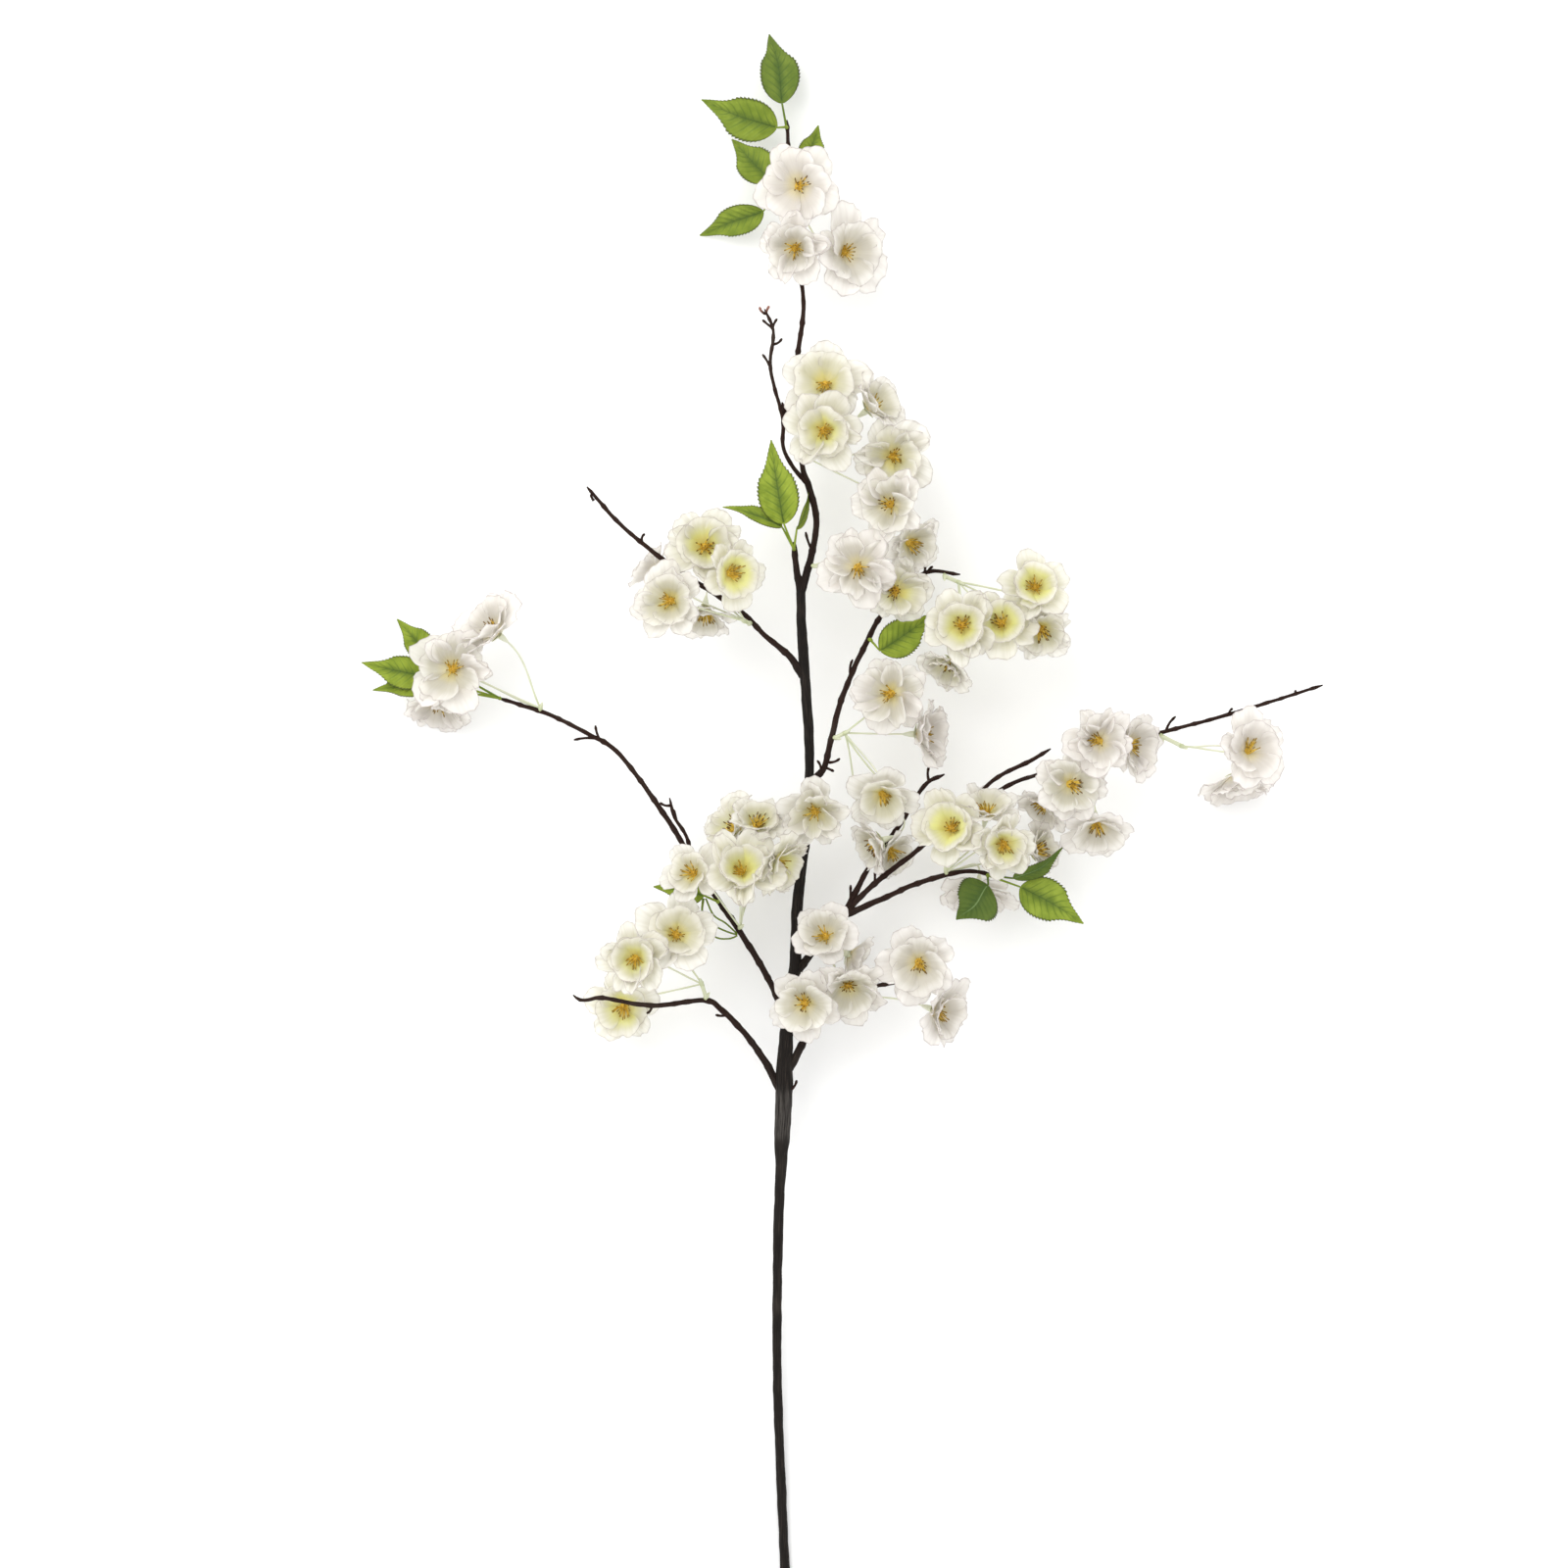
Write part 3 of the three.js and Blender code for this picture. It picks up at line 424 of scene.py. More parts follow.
# Branch. Its limbs: photo x, photo y, width in photo pixels, height in mm above the surface
limbs = {
    "mainStem": [
        [803, 1647, 9, 2.6], [798, 1540, 9, 4.5], [793, 1400, 8.6, 10.5], [794, 1262, 9.5, 18],
        [797, 1190, 11, 23], [798, 1160, 15.5, 25], [800, 1120, 17, 28.5], [802, 1062, 14, 33],
        [811, 990, 12, 38.5], [814, 920, 10.4, 43], [823, 845, 9, 47], [826, 770, 9, 49],
        [822, 700, 10, 50], [818, 640, 9.4, 50], [817, 597, 9, 50],
    ],
    "leader": [
        [817, 606, 8, 50], [829, 562, 6.2, 50], [833, 528, 5.6, 50], [825, 496, 6, 49.5],
        [818, 470, 4.8, 49], [817, 410, 4.4, 47], [814, 365, 4.2, 45], [820, 310, 3.8, 42],
        [812, 250, 3.6, 37], [806, 180, 3.4, 30], [803, 120, 3.2, 23],
    ],
    "leftProng": [[817, 606, 8, 50], [812, 575, 6, 51], [810, 553, 4.6, 52]],
    "bareTwig": [
        [822, 492, 4.4, 50], [808, 475, 3.6, 52], [799, 455, 3.2, 54], [799, 428, 3.6, 56],
        [790, 395, 3, 58], [786, 372, 2.8, 59], [789, 345, 2.6, 60], [788, 333, 2.6, 60],
        [780, 316, 2.2, 61],
    ],
    "upperLeft": [
        [819, 690, 8, 50], [806, 670, 6, 50.5], [780, 648, 4.8, 52], [753, 622, 4.4, 53],
        [682, 575, 4, 56], [635, 537, 3.6, 58], [612, 512, 3, 59], [599, 497, 2.2, 60],
    ],
    "upperRight": [
        [827, 797, 7, 48.5], [840, 785, 6, 49], [848, 755, 5.4, 50], [856, 722, 5, 51],
        [868, 690, 5, 51.5], [884, 656, 4.6, 51], [903, 623, 4.2, 49], [943, 585, 3.6, 46],
        [980, 586, 2.6, 46],
    ],
    "fanTrunk": [[815, 990, 8, 38.5], [845, 950, 6.4, 43], [864, 931, 9, 46]],
    "fanTop": [
        [860, 936, 6, 45.5], [888, 883, 4.4, 45], [918, 842, 4, 44], [943, 802, 3.6, 44],
        [964, 790, 2.6, 44],
    ],
    "fanMiddle": [
        [859, 935, 6, 45.5], [892, 902, 5, 49], [938, 866, 4.2, 51], [985, 825, 4, 52],
        [1015, 795, 3.6, 53], [1050, 777, 3.4, 54], [1072, 764, 2.4, 54.5],
    ],
    "fanLong": [
        [975, 834, 3.8, 52], [1030, 801, 3.6, 48], [1060, 790, 3.6, 45], [1110, 772, 3.6, 42],
        [1165, 753, 3.6, 41], [1240, 733, 3.2, 43], [1300, 715, 3, 46], [1350, 699, 2.2, 49],
    ],
    "fanLow": [
        [858, 936, 6, 45.5], [905, 915, 5, 50], [940, 900, 4.4, 52], [985, 889, 3.8, 53],
        [1014, 893, 3, 54],
    ],
    "farLeft": [
        [803, 1044, 8, 35], [788, 1007, 6, 34.5], [762, 962, 5.4, 34], [720, 900, 5, 33],
        [680, 835, 4.6, 32], [632, 770, 4, 32], [600, 749, 3.8, 32], [560, 729, 3.6, 33],
        [530, 719, 3.2, 33.5], [505, 711, 2.4, 34],
    ],
    "farLeftTwig": [[706, 878, 3.4, 32.5], [700, 853, 3, 34], [688, 834, 2.6, 36], [683, 814, 2, 37]],
    "lowLeft": [
        [799, 1119, 8, 28.5], [780, 1083, 6.6, 30.5], [758, 1053, 5.6, 32], [735, 1030, 5, 35],
        [718, 1021, 4.6, 40], [665, 1026, 4, 52], [615, 1018, 3.6, 57], [601, 1020, 3.2, 58],
        [592, 1020, 2.6, 58.5], [585, 1015, 2.2, 59],
    ],
    "lowRight": [
        [805, 1092, 8, 30.5], [826, 1052, 6.5, 34], [838, 1030, 5.5, 36], [868, 1012, 4.4, 38],
        [930, 1000, 3, 40],
    ],
}

# Bare nubs: photo x, y and height of the root, photo x, y and height of the tip
nubs = [
    [829, 562, 50, 822, 543, 53], [788, 335, 60, 778, 327, 61], [788, 337, 60, 793, 326, 62],
    [789, 352, 60, 798, 346, 61], [786, 375, 59, 778, 362, 60], [799, 428, 56, 803, 406, 59],
    [800, 430, 56, 811, 414, 58], [655, 553, 57, 658, 545, 60], [838, 787, 49, 834, 776, 53],
    [868, 690, 51.5, 870, 673, 54], [612, 756, 32, 607, 740, 34], [606, 753, 32, 585, 755, 33],
    [690, 838, 36, 687, 826, 38], [684, 822, 37, 673, 819, 38], [665, 1026, 52, 660, 1034, 54],
    [742, 1036, 34, 730, 1036, 36], [868, 921, 46, 868, 903, 48], [893, 901, 49, 893, 889, 52],
    [948, 797, 44, 948, 782, 46], [1190, 747, 41, 1200, 731, 44], [1255, 728, 44, 1258, 723, 47],
    [943, 586, 46, 944, 577, 49],
]
# Smaller prongs that only the scene has, the last two with a pinkish tip
prongs = [
    [801, 430, 56, 798, 411, 59], [802, 430, 57, 808, 406, 61], [803, 428, 58, 819, 403, 60],
    [947, 585, 46, 952, 578, 48], [1318, 709, 47, 1322, 704, 48], [1128, 766, 41, 1126, 759, 43],
    [750, 943, 33.6, 746, 934, 35], [606, 511, 59, 603, 505, 61], [808, 1112, 31, 813, 1103, 33],
    [846, 778, 49.5, 857, 774, 52], [842, 783, 49, 851, 787, 51],
    [781, 321, 61, 775, 314, 62], [781, 322, 61, 785, 313, 62],
]

# Lengths in mm, sleeveY in photo pixels. Each ripple: how often it goes round, its turn for each
# mm and its share
branchLook = {
    "step": 2.4, "thicker": 0.2, "stemSides": 20, "limbSides": 14, "twigSides": 10, "relief": 0.11,
    "ripples": ((2, 0.11, 0.5), (3, 0.23, 0.35), (5, -0.31, 0.3), (1, 0.47, 0.3)),
    "knobEvery": 12, "knobHeight": 0.9, "knobWidth": 1.6, "sleeveY": 1138, "sleeveReach": 16,
    "nubShares": (0, 0.4, 0.6, 0.85, 1), "nubRadii": (1.1, 0.85, 0.8, 1.05, 0.55), "nubRings": 7,
    "nubSides": 8, "nubBow": 2.5, "pinkTips": 2,
}


def barkMarks(lengths, angles, shiftX, shiftY):
    marks = np.zeros((len(lengths), len(angles), 3))
    marks[..., 0] = np.cos(angles) + shiftX
    marks[..., 1] = np.sin(angles) + shiftY
    marks[..., 2] = lengths[:, None]
    return marks


def limbTube(pen, name, path, seed):
    look = branchLook
    rows = [[*place(x, y, height), width * photoGrid["mmPerPx"] / 2] for x, y, width, height in path]
    made = smoothPath(rows, look["step"])
    line, radius = made[:, :3], made[:, 3]
    main = name == "mainStem"
    sides = look["stemSides"] if main else look["limbSides"] if path[0][2] > 5 else look["twigSides"]
    run = np.concatenate([[0], np.cumsum(np.linalg.norm(np.diff(line, axis=0), axis=1))])
    angles = circle(sides)
    relief = sum(np.sin(times * angles[None, :] + run[:, None] * turn + seed * times) * share
                 for times, turn, share in look["ripples"])
    relief = look["relief"] * relief * (0.6 if main else 1)
    knob = np.zeros(len(run))
    count = int(run[-1] / look["knobEvery"])
    for i in range(count):
        at = run[-1] * (i + 0.3 + 0.5 * wobble(seed, i)) / count
        high = look["knobHeight"] * (0.4 + wobble(seed, i + 40))
        knob += high * np.exp(-((run - at) / look["knobWidth"]) ** 2)
    if main:
        knob *= 0.25
    radii = (radius[:, None] + look["thicker"]) * (1 + relief) + 0.5 * knob[:, None]
    radii[-1] *= 0.45  # a rounded end
    radii[-2] *= 0.85
    tone = np.clip(1 - (radius - 1.0) / 2.2, 0, 1)[:, None]
    if main:
        middle = place(0, look["sleeveY"], 0)[1]
        tone = tone - 0.9 * np.exp(-((line[:, 1] - middle) / look["sleeveReach"]) ** 4)[:, None]
    pen.tube(line, radii, sides, barkMarks(run / 10, angles, seed, seed), tone)


def nubTube(pen, row, seed, pink):
    rings, sides = branchLook["nubRings"], branchLook["nubSides"]
    root, tip = place(*row[:3]), place(*row[3:])
    bow = np.cross(unit(tip - root), [0, 0, 1.0]) * (wobble(seed, 3) - 0.5) * branchLook["nubBow"]
    share = np.linspace(0, 1, rings)
    line = root + share[:, None] * (tip - root) + np.sin(share * math.pi)[:, None] * bow
    radii = np.interp(share, branchLook["nubShares"], branchLook["nubRadii"])
    marks = barkMarks(share, circle(sides), seed, 0)
    pen.tube(line, radii, sides, marks, 1 + pink * share[:, None])


def makeBranch():
    pen = Pen()
    for seed, (name, path) in enumerate(limbs.items()):
        limbTube(pen, name, path, seed + 1)
    bare = nubs + prongs
    for seed, row in enumerate(bare):
        nubTube(pen, row, seed, seed >= len(bare) - branchLook["pinkTips"])
    pen.piece("branch_bark", barkMaterial, ["branch"], "wood")


makeBranch()
print("branch made,", triangles[-1], "triangles")

# Blooms. Each spray: the bud's seat, the fork where there is one, and for each bloom its throat
# (photo x, y, height in mm), the way it faces, its lean from upright, the reach of its petals and
# their rise, how lime its throat is, how much of a bowl its upper petals make, and its size
# against the reach
sprays = {
    "top": {"seat": [808, 203, 32], "blooms": [
        [815, 191, 64, 180, 7, 30, 18, 0.2, 0.25, 1.0],
        [811, 254, 63, 220, 14, 25, 22, 0.3, 0.7, 1.05],
        [862, 257, 48, 0, 36, 30, 24, 0.3, 0.4, 1.1],
    ]},
    "crown": {"seat": [818, 466, 50], "blooms": [
        [842, 393, 68, 110, 19, 28, 20, 0.6, 0.6, 1.12],
        [840, 441, 82, 200, 9, 28, 20, 0.8, 0.9, 1.0],
        [888, 417, 65, 35, 61, 24, 36, 0.5, 0.5, 1.1],
        [911, 467, 70, 250, 8, 28, 22, 0.6, 0.3, 1.05],
        [908, 516, 85, 200, 11, 27, 20, 0.4, 0.5, 1.0],
    ]},
    "heart": {"seat": [829, 577, 50], "blooms": [
        [927, 554, 64, 335, 42, 24, 26, 0.45, 0.5, 1.0],
        [875, 580, 78, 180, 5, 29, 18, 0.3, 0.0, 0.97],
        [914, 603, 67, 340, 24, 25, 24, 0.7, 0.2, 1.0],
    ]},
    "left": {"seat": [766, 635, 52.5], "fork": [760, 634, 58], "blooms": [
        [719, 559, 80, 90, 9, 28, 20, 0.85, 0.9, 1.0],
        [745, 586, 92, 350, 32, 26, 22, 1.0, 0.7, 0.95],
        [685, 614, 87, 170, 19, 28, 22, 0.5, 0.5, 0.95],
        [719, 623, 39, 265, 60, 24, 34, 0.4, 0.5, 1.0],
        [669, 581, 31, 140, 99, 22, 30, 0.3, 0.5, 1.0],
    ]},
    "right": {"seat": [964, 586, 46], "fork": [978, 594, 52], "blooms": [
        [1055, 600, 76, 80, 14, 26, 24, 1.0, 1.0, 1.0],
        [981, 639, 83, 200, 8, 27, 22, 0.85, 1.0, 1.0],
        [1021, 637, 76, 100, 9, 25, 22, 1.0, 0.9, 1.0],
        [1061, 642, 67, 300, 26, 23, 24, 0.6, 0.6, 1.0],
        [969, 676, 53, 240, 64, 20, 36, 0.6, 0.5, 1.15],
    ]},
    "middleRight": {"seat": [850, 752, 50], "fork": [862, 748, 55], "blooms": [
        [909, 708, 65, 180, 8, 28, 18, 0.35, 0.1, 1.0],
        [938, 749, 53, 0, 65, 27, 34, 0.2, 0.4, 1.05],
        [900, 810, 65, 272, 34, 27, 24, 0.55, 0.7, 1.0],
        [896, 859, 54, 200, 67, 22, 34, 0.4, 0.4, 1.1],
        [909, 868, 43, 325, 51, 20, 28, 0.4, 0.4, 1.0],
    ]},
    "stemFront": {"seat": [821, 856, 46.5], "blooms": [
        [832, 828, 66, 250, 20, 28, 20, 0.55, 0.5, 0.95],
    ]},
    "leftHeart": {"seat": [753, 948, 34], "blooms": [
        [772, 842, 62, 75, 44, 22, 30, 0.7, 0.8, 1.05],
        [752, 846, 41, 145, 60, 26, 30, 0.75, 0.5, 1.05],
        [757, 889, 81, 85, 20, 27, 24, 0.95, 1.0, 1.08],
        [708, 891, 75, 150, 22, 25, 20, 0.55, 0.8, 0.9],
        [791, 879, 75, 330, 61, 24, 26, 0.9, 0.6, 1.08],
    ]},
    "lowLeft": {"seat": [718, 1021, 40], "fork": [716, 1004, 47], "blooms": [
        [690, 953, 71, 60, 17, 29, 18, 0.6, 1.0, 1.0],
        [649, 977, 81, 200, 14, 28, 24, 0.85, 1.0, 0.97],
        [636, 1028, 30, 220, 14, 26, 18, 0.9, 0.6, 1.0],
    ]},
    "farLeft": {"seat": [550, 725, 33], "blooms": [
        [506, 645, 52, 140, 60, 28, 30, 0.25, 0.4, 1.15],
        [462, 683, 55, 160, 9, 30, 18, 0.35, 0.3, 1.0],
        [447, 716, 15.4, 255, 62, 23, 30, 0.25, 0.4, 1.15],
    ]},
    "fanHeart": {"seat": [966, 892, 52.5], "blooms": [
        [970, 845, 75, 150, 20, 28, 20, 1.0, 0.9, 0.97],
        [1023, 861, 82, 290, 16, 25, 24, 0.9, 0.8, 0.92],
        [1006, 830, 67, 80, 56, 22, 28, 0.5, 0.6, 1.1],
        [1056, 868, 42, 15, 62, 22, 34, 0.5, 0.5, 1.0],
        [999, 907, 25, 265, 60, 28, 22, 0.2, 0.3, 1.05],
    ]},
    "fanRight": {"seat": [1104, 774, 42.5], "blooms": [
        [1120, 756, 83, 20, 4, 24, 20, 0.25, 0.5, 1.08],
        [1150, 760, 63, 0, 53, 25, 28, 0.25, 0.4, 1.05],
        [1091, 800, 75, 300, 11, 27, 20, 0.4, 0.3, 1.0],
        [1119, 841, 56, 275, 51, 25, 26, 0.3, 0.5, 1.08],
        [1068, 818, 40, 235, 65, 23, 34, 0.3, 0.4, 1.0],
    ]},
    "farRight": {"seat": [1185, 748, 41], "fork": [1206, 761, 41], "blooms": [
        [1273, 766, 58, 10, 27, 29, 22, 0.2, 0.6, 1.0],
        [1263, 793, 20.9, 275, 80, 26, 30, 0.2, 0.4, 1.12],
    ]},
    "lowRight": {"seat": [862, 1015, 37.5], "blooms": [
        [842, 955, 63, 100, 22, 25, 26, 0.35, 0.5, 1.0],
        [868, 976, 36, 330, 100, 20, 28, 0.3, 0.3, 1.0],
        [821, 1023, 70, 230, 16, 28, 22, 0.4, 0.5, 0.97],
        [865, 1005, 66, 282, 38, 27, 24, 0.4, 0.6, 1.05],
        [937, 981, 72, 250, 18, 28, 20, 0.3, 0.5, 1.03],
        [955, 1031, 59, 340, 60, 26, 30, 0.25, 0.9, 1.08],
    ]},
}

# Lengths in mm
bloomLook = {
    "rows": 9, "columns": 17, "thickness": 0.32, "collarRadius": 3.3, "rootRadius": 1.7,
    "throatDepth": 2, "raggedFrom": 0.45, "petalsRound": 5, "stalkRadius": 0.62, "stalkRings": 15,
    "stalkSides": 8, "calyxLength": 9.5, "calyxSides": 12,
    "calyxHeights": (-9.9, -9.3, -8, -6, -4, -2.2, -1, 0, 0.8, 2, 3.0, 3.5),
    "calyxRadii": (0.6, 0.95, 1.25, 1.75, 2.15, 2.3, 2.15, 2.4, 2.2, 1.5, 1.1, 0.6),
    "sepals": 5, "sepalThickness": 0.35,
}
# Each whorl: petals, share of the outer length, half width as a share of the length, turn in
# petals, more rise at the root and at the tip in degrees, cup, height of the root and how far the
# petals stray. The upper petals lie between open and bowl; only ragged blooms have the ones between
whorls = {
    "outer": {"count": 5, "share": 1.0, "wide": 0.43, "turn": 0.0, "root": 12, "tip": -22,
              "cup": 0.12, "height": 0.6, "loose": 1.0},
    "between": {"count": 3, "share": 0.94, "wide": 0.34, "turn": 0.35, "root": 16, "tip": -10,
                "cup": 0.2, "height": 0.9, "loose": 1.5},
    "open": {"count": 5, "share": 0.88, "wide": 0.45, "turn": 0.5, "root": 20, "tip": -14,
             "cup": 0.14, "height": 1.1, "loose": 1.1},
    "bowl": {"count": 5, "share": 0.70, "wide": 0.70, "turn": 0.5, "root": 38, "tip": 4,
             "cup": 0.24, "height": 1.3, "loose": 0.45},
}


def bloomFrame(row):  # the directions and the middle of a bloom from its row
    x, y, height, turn, lean, reach, rise, lime, bowl, size = row
    spin, tilt = math.radians(turn), math.radians(lean)
    level = np.array([math.cos(spin), math.sin(spin), 0])
    face = math.sin(tilt) * level + [0, 0, math.cos(tilt)]
    across = math.cos(tilt) * level - [0, 0, math.sin(tilt)]
    other = np.array([-math.sin(spin), math.cos(spin), 0])
    hub = place(x, y, height) - bloomLook["throatDepth"] * face
    return {"face": face, "across": across, "other": other, "hub": hub, "reach": reach * size,
            "rise": math.radians(rise), "lean": lean, "lime": lime, "bowl": bowl}


def bloomPoints(bloom, turn, radial, side, height):  # from a petal's own directions to places
    c, s = math.cos(turn), math.sin(turn)
    return (bloom["hub"] + (radial * c - side * s)[..., None] * bloom["across"]
            + (radial * s + side * c)[..., None] * bloom["other"] + height[..., None] * bloom["face"])


def ownTurn(seed):  # how far a bloom's petals and sepals are turned round its middle
    return wobble(seed, 50)


# One petal: a paddle that bends up and over, rolls and sways to one side, with a frilled tip
def petal(pen, bloom, seed, whorl, order, i, strength):
    look = bloomLook
    pick = [wobble(seed, order + i * 17 + k) for k in range(17)]
    swing = [2 * value - 1 for value in pick]
    loose = whorl["loose"]
    folded = loose > 0.9 and pick[15] > 0.8
    around, root = look["petalsRound"], look["rootRadius"]
    length = (bloom["reach"] - look["collarRadius"]) * whorl["share"] * (1 + 0.09 * swing[0])
    turn = i * around / whorl["count"] + whorl["turn"] + 0.1 * loose * swing[1]
    turn = 2 * math.pi * turn / around + ownTurn(seed)
    half = length * whorl["wide"] * (1 + 0.09 * swing[2]) * (0.75 if folded else 1)
    riseRoot = bloom["rise"] + math.radians(whorl["root"] + 5 * swing[3])
    riseTip = bloom["rise"] + math.radians(whorl["tip"] + (6 + 10 * loose) * swing[4])
    s = np.linspace(0, 1, look["rows"])[:, None] ** 0.9  # root to edge
    t = np.linspace(-1, 1, look["columns"])[None, :]  # side to side
    # the outline of the tip: shoulders, a skew, two frills and a notch
    arch = np.cos(math.pi / 2 * t)
    shoulder = 0.42 if folded else 0.58 + 0.07 * swing[5]
    edge = shoulder + (1 - shoulder) * arch
    edge = edge + 0.07 * loose * swing[6] * np.sin(math.pi / 2 * t) * arch
    edge = edge + 0.02 * np.sin(7 * t + 9 * pick[7]) * arch + 0.014 * np.sin(16 * t + 9 * pick[8])
    notch = 0.09 if pick[9] > 0.5 else 0.02
    edge = edge - notch * np.exp(-((t - 0.3 * swing[10]) / 0.14) ** 2)
    u = s * edge
    side = half * np.sin(math.pi / 2 * t) * (0.18 + 0.82 * np.sin(math.pi / 2 * s) ** 1.3)
    # the bend up and over
    bend = riseTip - riseRoot
    slope = riseRoot + bend * u
    out = length * (np.sin(slope) - math.sin(riseRoot)) / bend
    up = length * (math.cos(riseRoot) - np.cos(slope)) / bend
    # off the bent sheet: the cup, the roll and the waves of the edge
    lift = whorl["cup"] * (4 if folded else 1) * side * side / half
    lift = lift + side * (0.12 + 0.42 * loose * swing[11] * s)
    waves = 2.0 + 1.5 * pick[12]
    crest = length * s ** 2.6 * (0.03 + 0.05 * loose * pick[13])
    lift = lift + crest * np.sin(waves * math.pi * t + 6.28 * pick[14])
    lift = lift + length * s ** 5 * 0.022 * np.sin(3.1 * waves * math.pi * t + 6.28 * pick[16])
    side = side + 0.12 * loose * swing[16] * length * u * u
    ease = (look["collarRadius"] - root) * np.minimum(u / 0.15, 1)
    points = bloomPoints(bloom, turn, root + ease + out - lift * np.sin(slope), side,
                         whorl["height"] + up + lift * np.cos(slope))
    marks = np.stack([np.broadcast_to(s, side.shape), np.broadcast_to(t, side.shape),
                      np.full(side.shape, pick[0])], -1)
    pen.blade(points, marks, strength, look["thickness"])


def bloomPetals(pen, bloom, seed):
    bowl = bloom["bowl"]
    flat, cupped = whorls["open"], whorls["bowl"]
    upper = {key: (1 - bowl) * flat[key] + bowl * cupped[key] for key in flat}
    ragged = 0.9 * wobble(seed, 61)
    # each layer: where its draws start, its whorl and its share of the throat's lime
    layers = [(0, whorls["outer"], 0.6), (400, upper, 1.0)]
    if ragged > bloomLook["raggedFrom"]:
        layers.append((200, whorls["between"], 0.6))
    for order, whorl, share in layers:
        loose = whorl["loose"] * (0.6 + ragged) * (1 - bloom["lean"] / 160)
        whorl = {**whorl, "share": whorl["share"] * (1 + 0.06 * bowl), "loose": loose}
        for i in range(round(whorl["count"])):
            petal(pen, bloom, seed, whorl, order, i, bloom["lime"] * share)


def stalkCurve(bloom, start):  # from the bud into the foot of the calyx
    foot = bloom["hub"] - bloomLook["calyxLength"] * bloom["face"]
    reach = np.linalg.norm(foot - start)
    a, b, c, d = start, start + 0.35 * (foot - start), foot - 0.4 * reach * bloom["face"], foot
    t = np.linspace(0, 1, bloomLook["stalkRings"])[:, None]
    return (1 - t) ** 3 * a + 3 * (1 - t) ** 2 * t * b + 3 * (1 - t) * t ** 2 * c + t ** 3 * d


# The stalk, the urn of the calyx with the receptacle above it, and the sepals under the petals
def bloomStalk(pen, bloom, start, seed):
    look = bloomLook
    rings = look["stalkRings"]
    radii = look["stalkRadius"] + 0.06 * np.sin(np.arange(rings) * 1.7 + seed)
    green = 0.15 + 0.4 * (1 - np.linspace(0, 1, rings)) ** 2 + 0.25 * (wobble(seed, 71) - 0.5)
    pen.tube(stalkCurve(bloom, start), radii, look["stalkSides"], 0, np.clip(green, 0, 1)[:, None])
    line = bloom["hub"] + np.array(look["calyxHeights"])[:, None] * bloom["face"]
    pen.tube(line, look["calyxRadii"], look["calyxSides"], 0, 0.28)
    s = np.linspace(0, 1, 5)[:, None]  # a sepal, root to tip and side to side
    t = np.linspace(-1, 1, 5)[None, :]
    radial = 2.1 + 5.2 * s + 0 * t
    side = t * 1.7 * (1 - s ** 1.6 * 0.92)
    height = -0.9 + 2.0 * s ** 1.5 + 0.3 * t * t * (1 - s)
    for i in range(look["sepals"]):
        turn = 2 * math.pi * (i + 0.2) / look["sepals"] + ownTurn(seed)
        pen.blade(bloomPoints(bloom, turn, radial, side, height), 0, 0.45, look["sepalThickness"])


# Lengths in mm, and how far the threads spread in degrees
stamenLook = {
    "count": 18, "length": 4.6, "moreLength": 4.2, "spread": 5, "moreSpread": 30, "stray": 16,
    "threadRadii": (0.5, 0.46, 0.42, 0.4, 0.38, 0.38), "threadSides": 5,
    "headHeights": (-0.5, 0.1, 0.9, 1.6, 1.9), "headRadii": (0.36, 0.44, 0.46, 0.36, 0.12),
    "headSides": 6, "domeHeights": (1.0, 1.8, 2.6, 3.3, 3.9, 4.2),
    "domeRadii": (3.1, 2.7, 2.1, 1.5, 0.8, 0.2), "domeSides": 14,
}


def threadMarks(share, own):
    return np.stack([share, 0 * share, 0 * share + own], -1)[:, None]


# Threads fanned out of a golden dome, in many blooms all to one side
def bloomStamens(pen, bloom, seed):
    look = stamenLook
    lean = 0.1 + 0.6 * wobble(seed, 301)
    leanTurn = wobble(seed, 302) * 2 * math.pi
    brown = 0.6 + 0.4 * wobble(seed, 303)
    dome = bloom["hub"] + np.array(look["domeHeights"])[:, None] * bloom["face"]
    marks = threadMarks(0.5 * np.linspace(0, 1, len(dome)), 0.8)
    pen.tube(dome, look["domeRadii"], look["domeSides"], marks, 0.4)
    share = np.linspace(0, 1, len(look["threadRadii"]))
    for i in range(look["count"]):
        outward = math.sqrt((i + 0.5) / look["count"])
        turn = 2 * math.pi * i * 0.382 + wobble(seed, 310 + i)
        spread = look["spread"] + look["moreSpread"] * outward
        spread = math.radians(spread + look["stray"] * (wobble(seed, 330 + i) - 0.5))
        length = look["length"] + look["moreLength"] * wobble(seed, 350 + i)
        way = np.array([math.sin(spread) * math.cos(turn) + lean * math.cos(leanTurn),
                        math.sin(spread) * math.sin(turn) + lean * math.sin(leanTurn), math.cos(spread)])
        way = unit(way[0] * bloom["across"] + way[1] * bloom["other"] + way[2] * bloom["face"])
        out = math.cos(turn) * bloom["across"] + math.sin(turn) * bloom["other"]
        root = bloom["hub"] + 2.0 * bloom["face"] + out * 1.9 * outward
        bow = out * length * 0.09 * (1 - 2 * wobble(seed, 370 + i))
        line = root + share[:, None] * length * way + np.sin(share * math.pi)[:, None] * bow
        own = wobble(seed, 390 + i)
        pen.tube(line, look["threadRadii"], look["threadSides"], threadMarks(0.84 * share, own), brown)
        head = line[-1] + np.array(look["headHeights"])[:, None] * way
        pen.tube(head, look["headRadii"], look["headSides"], [0.95, 0, own], brown)


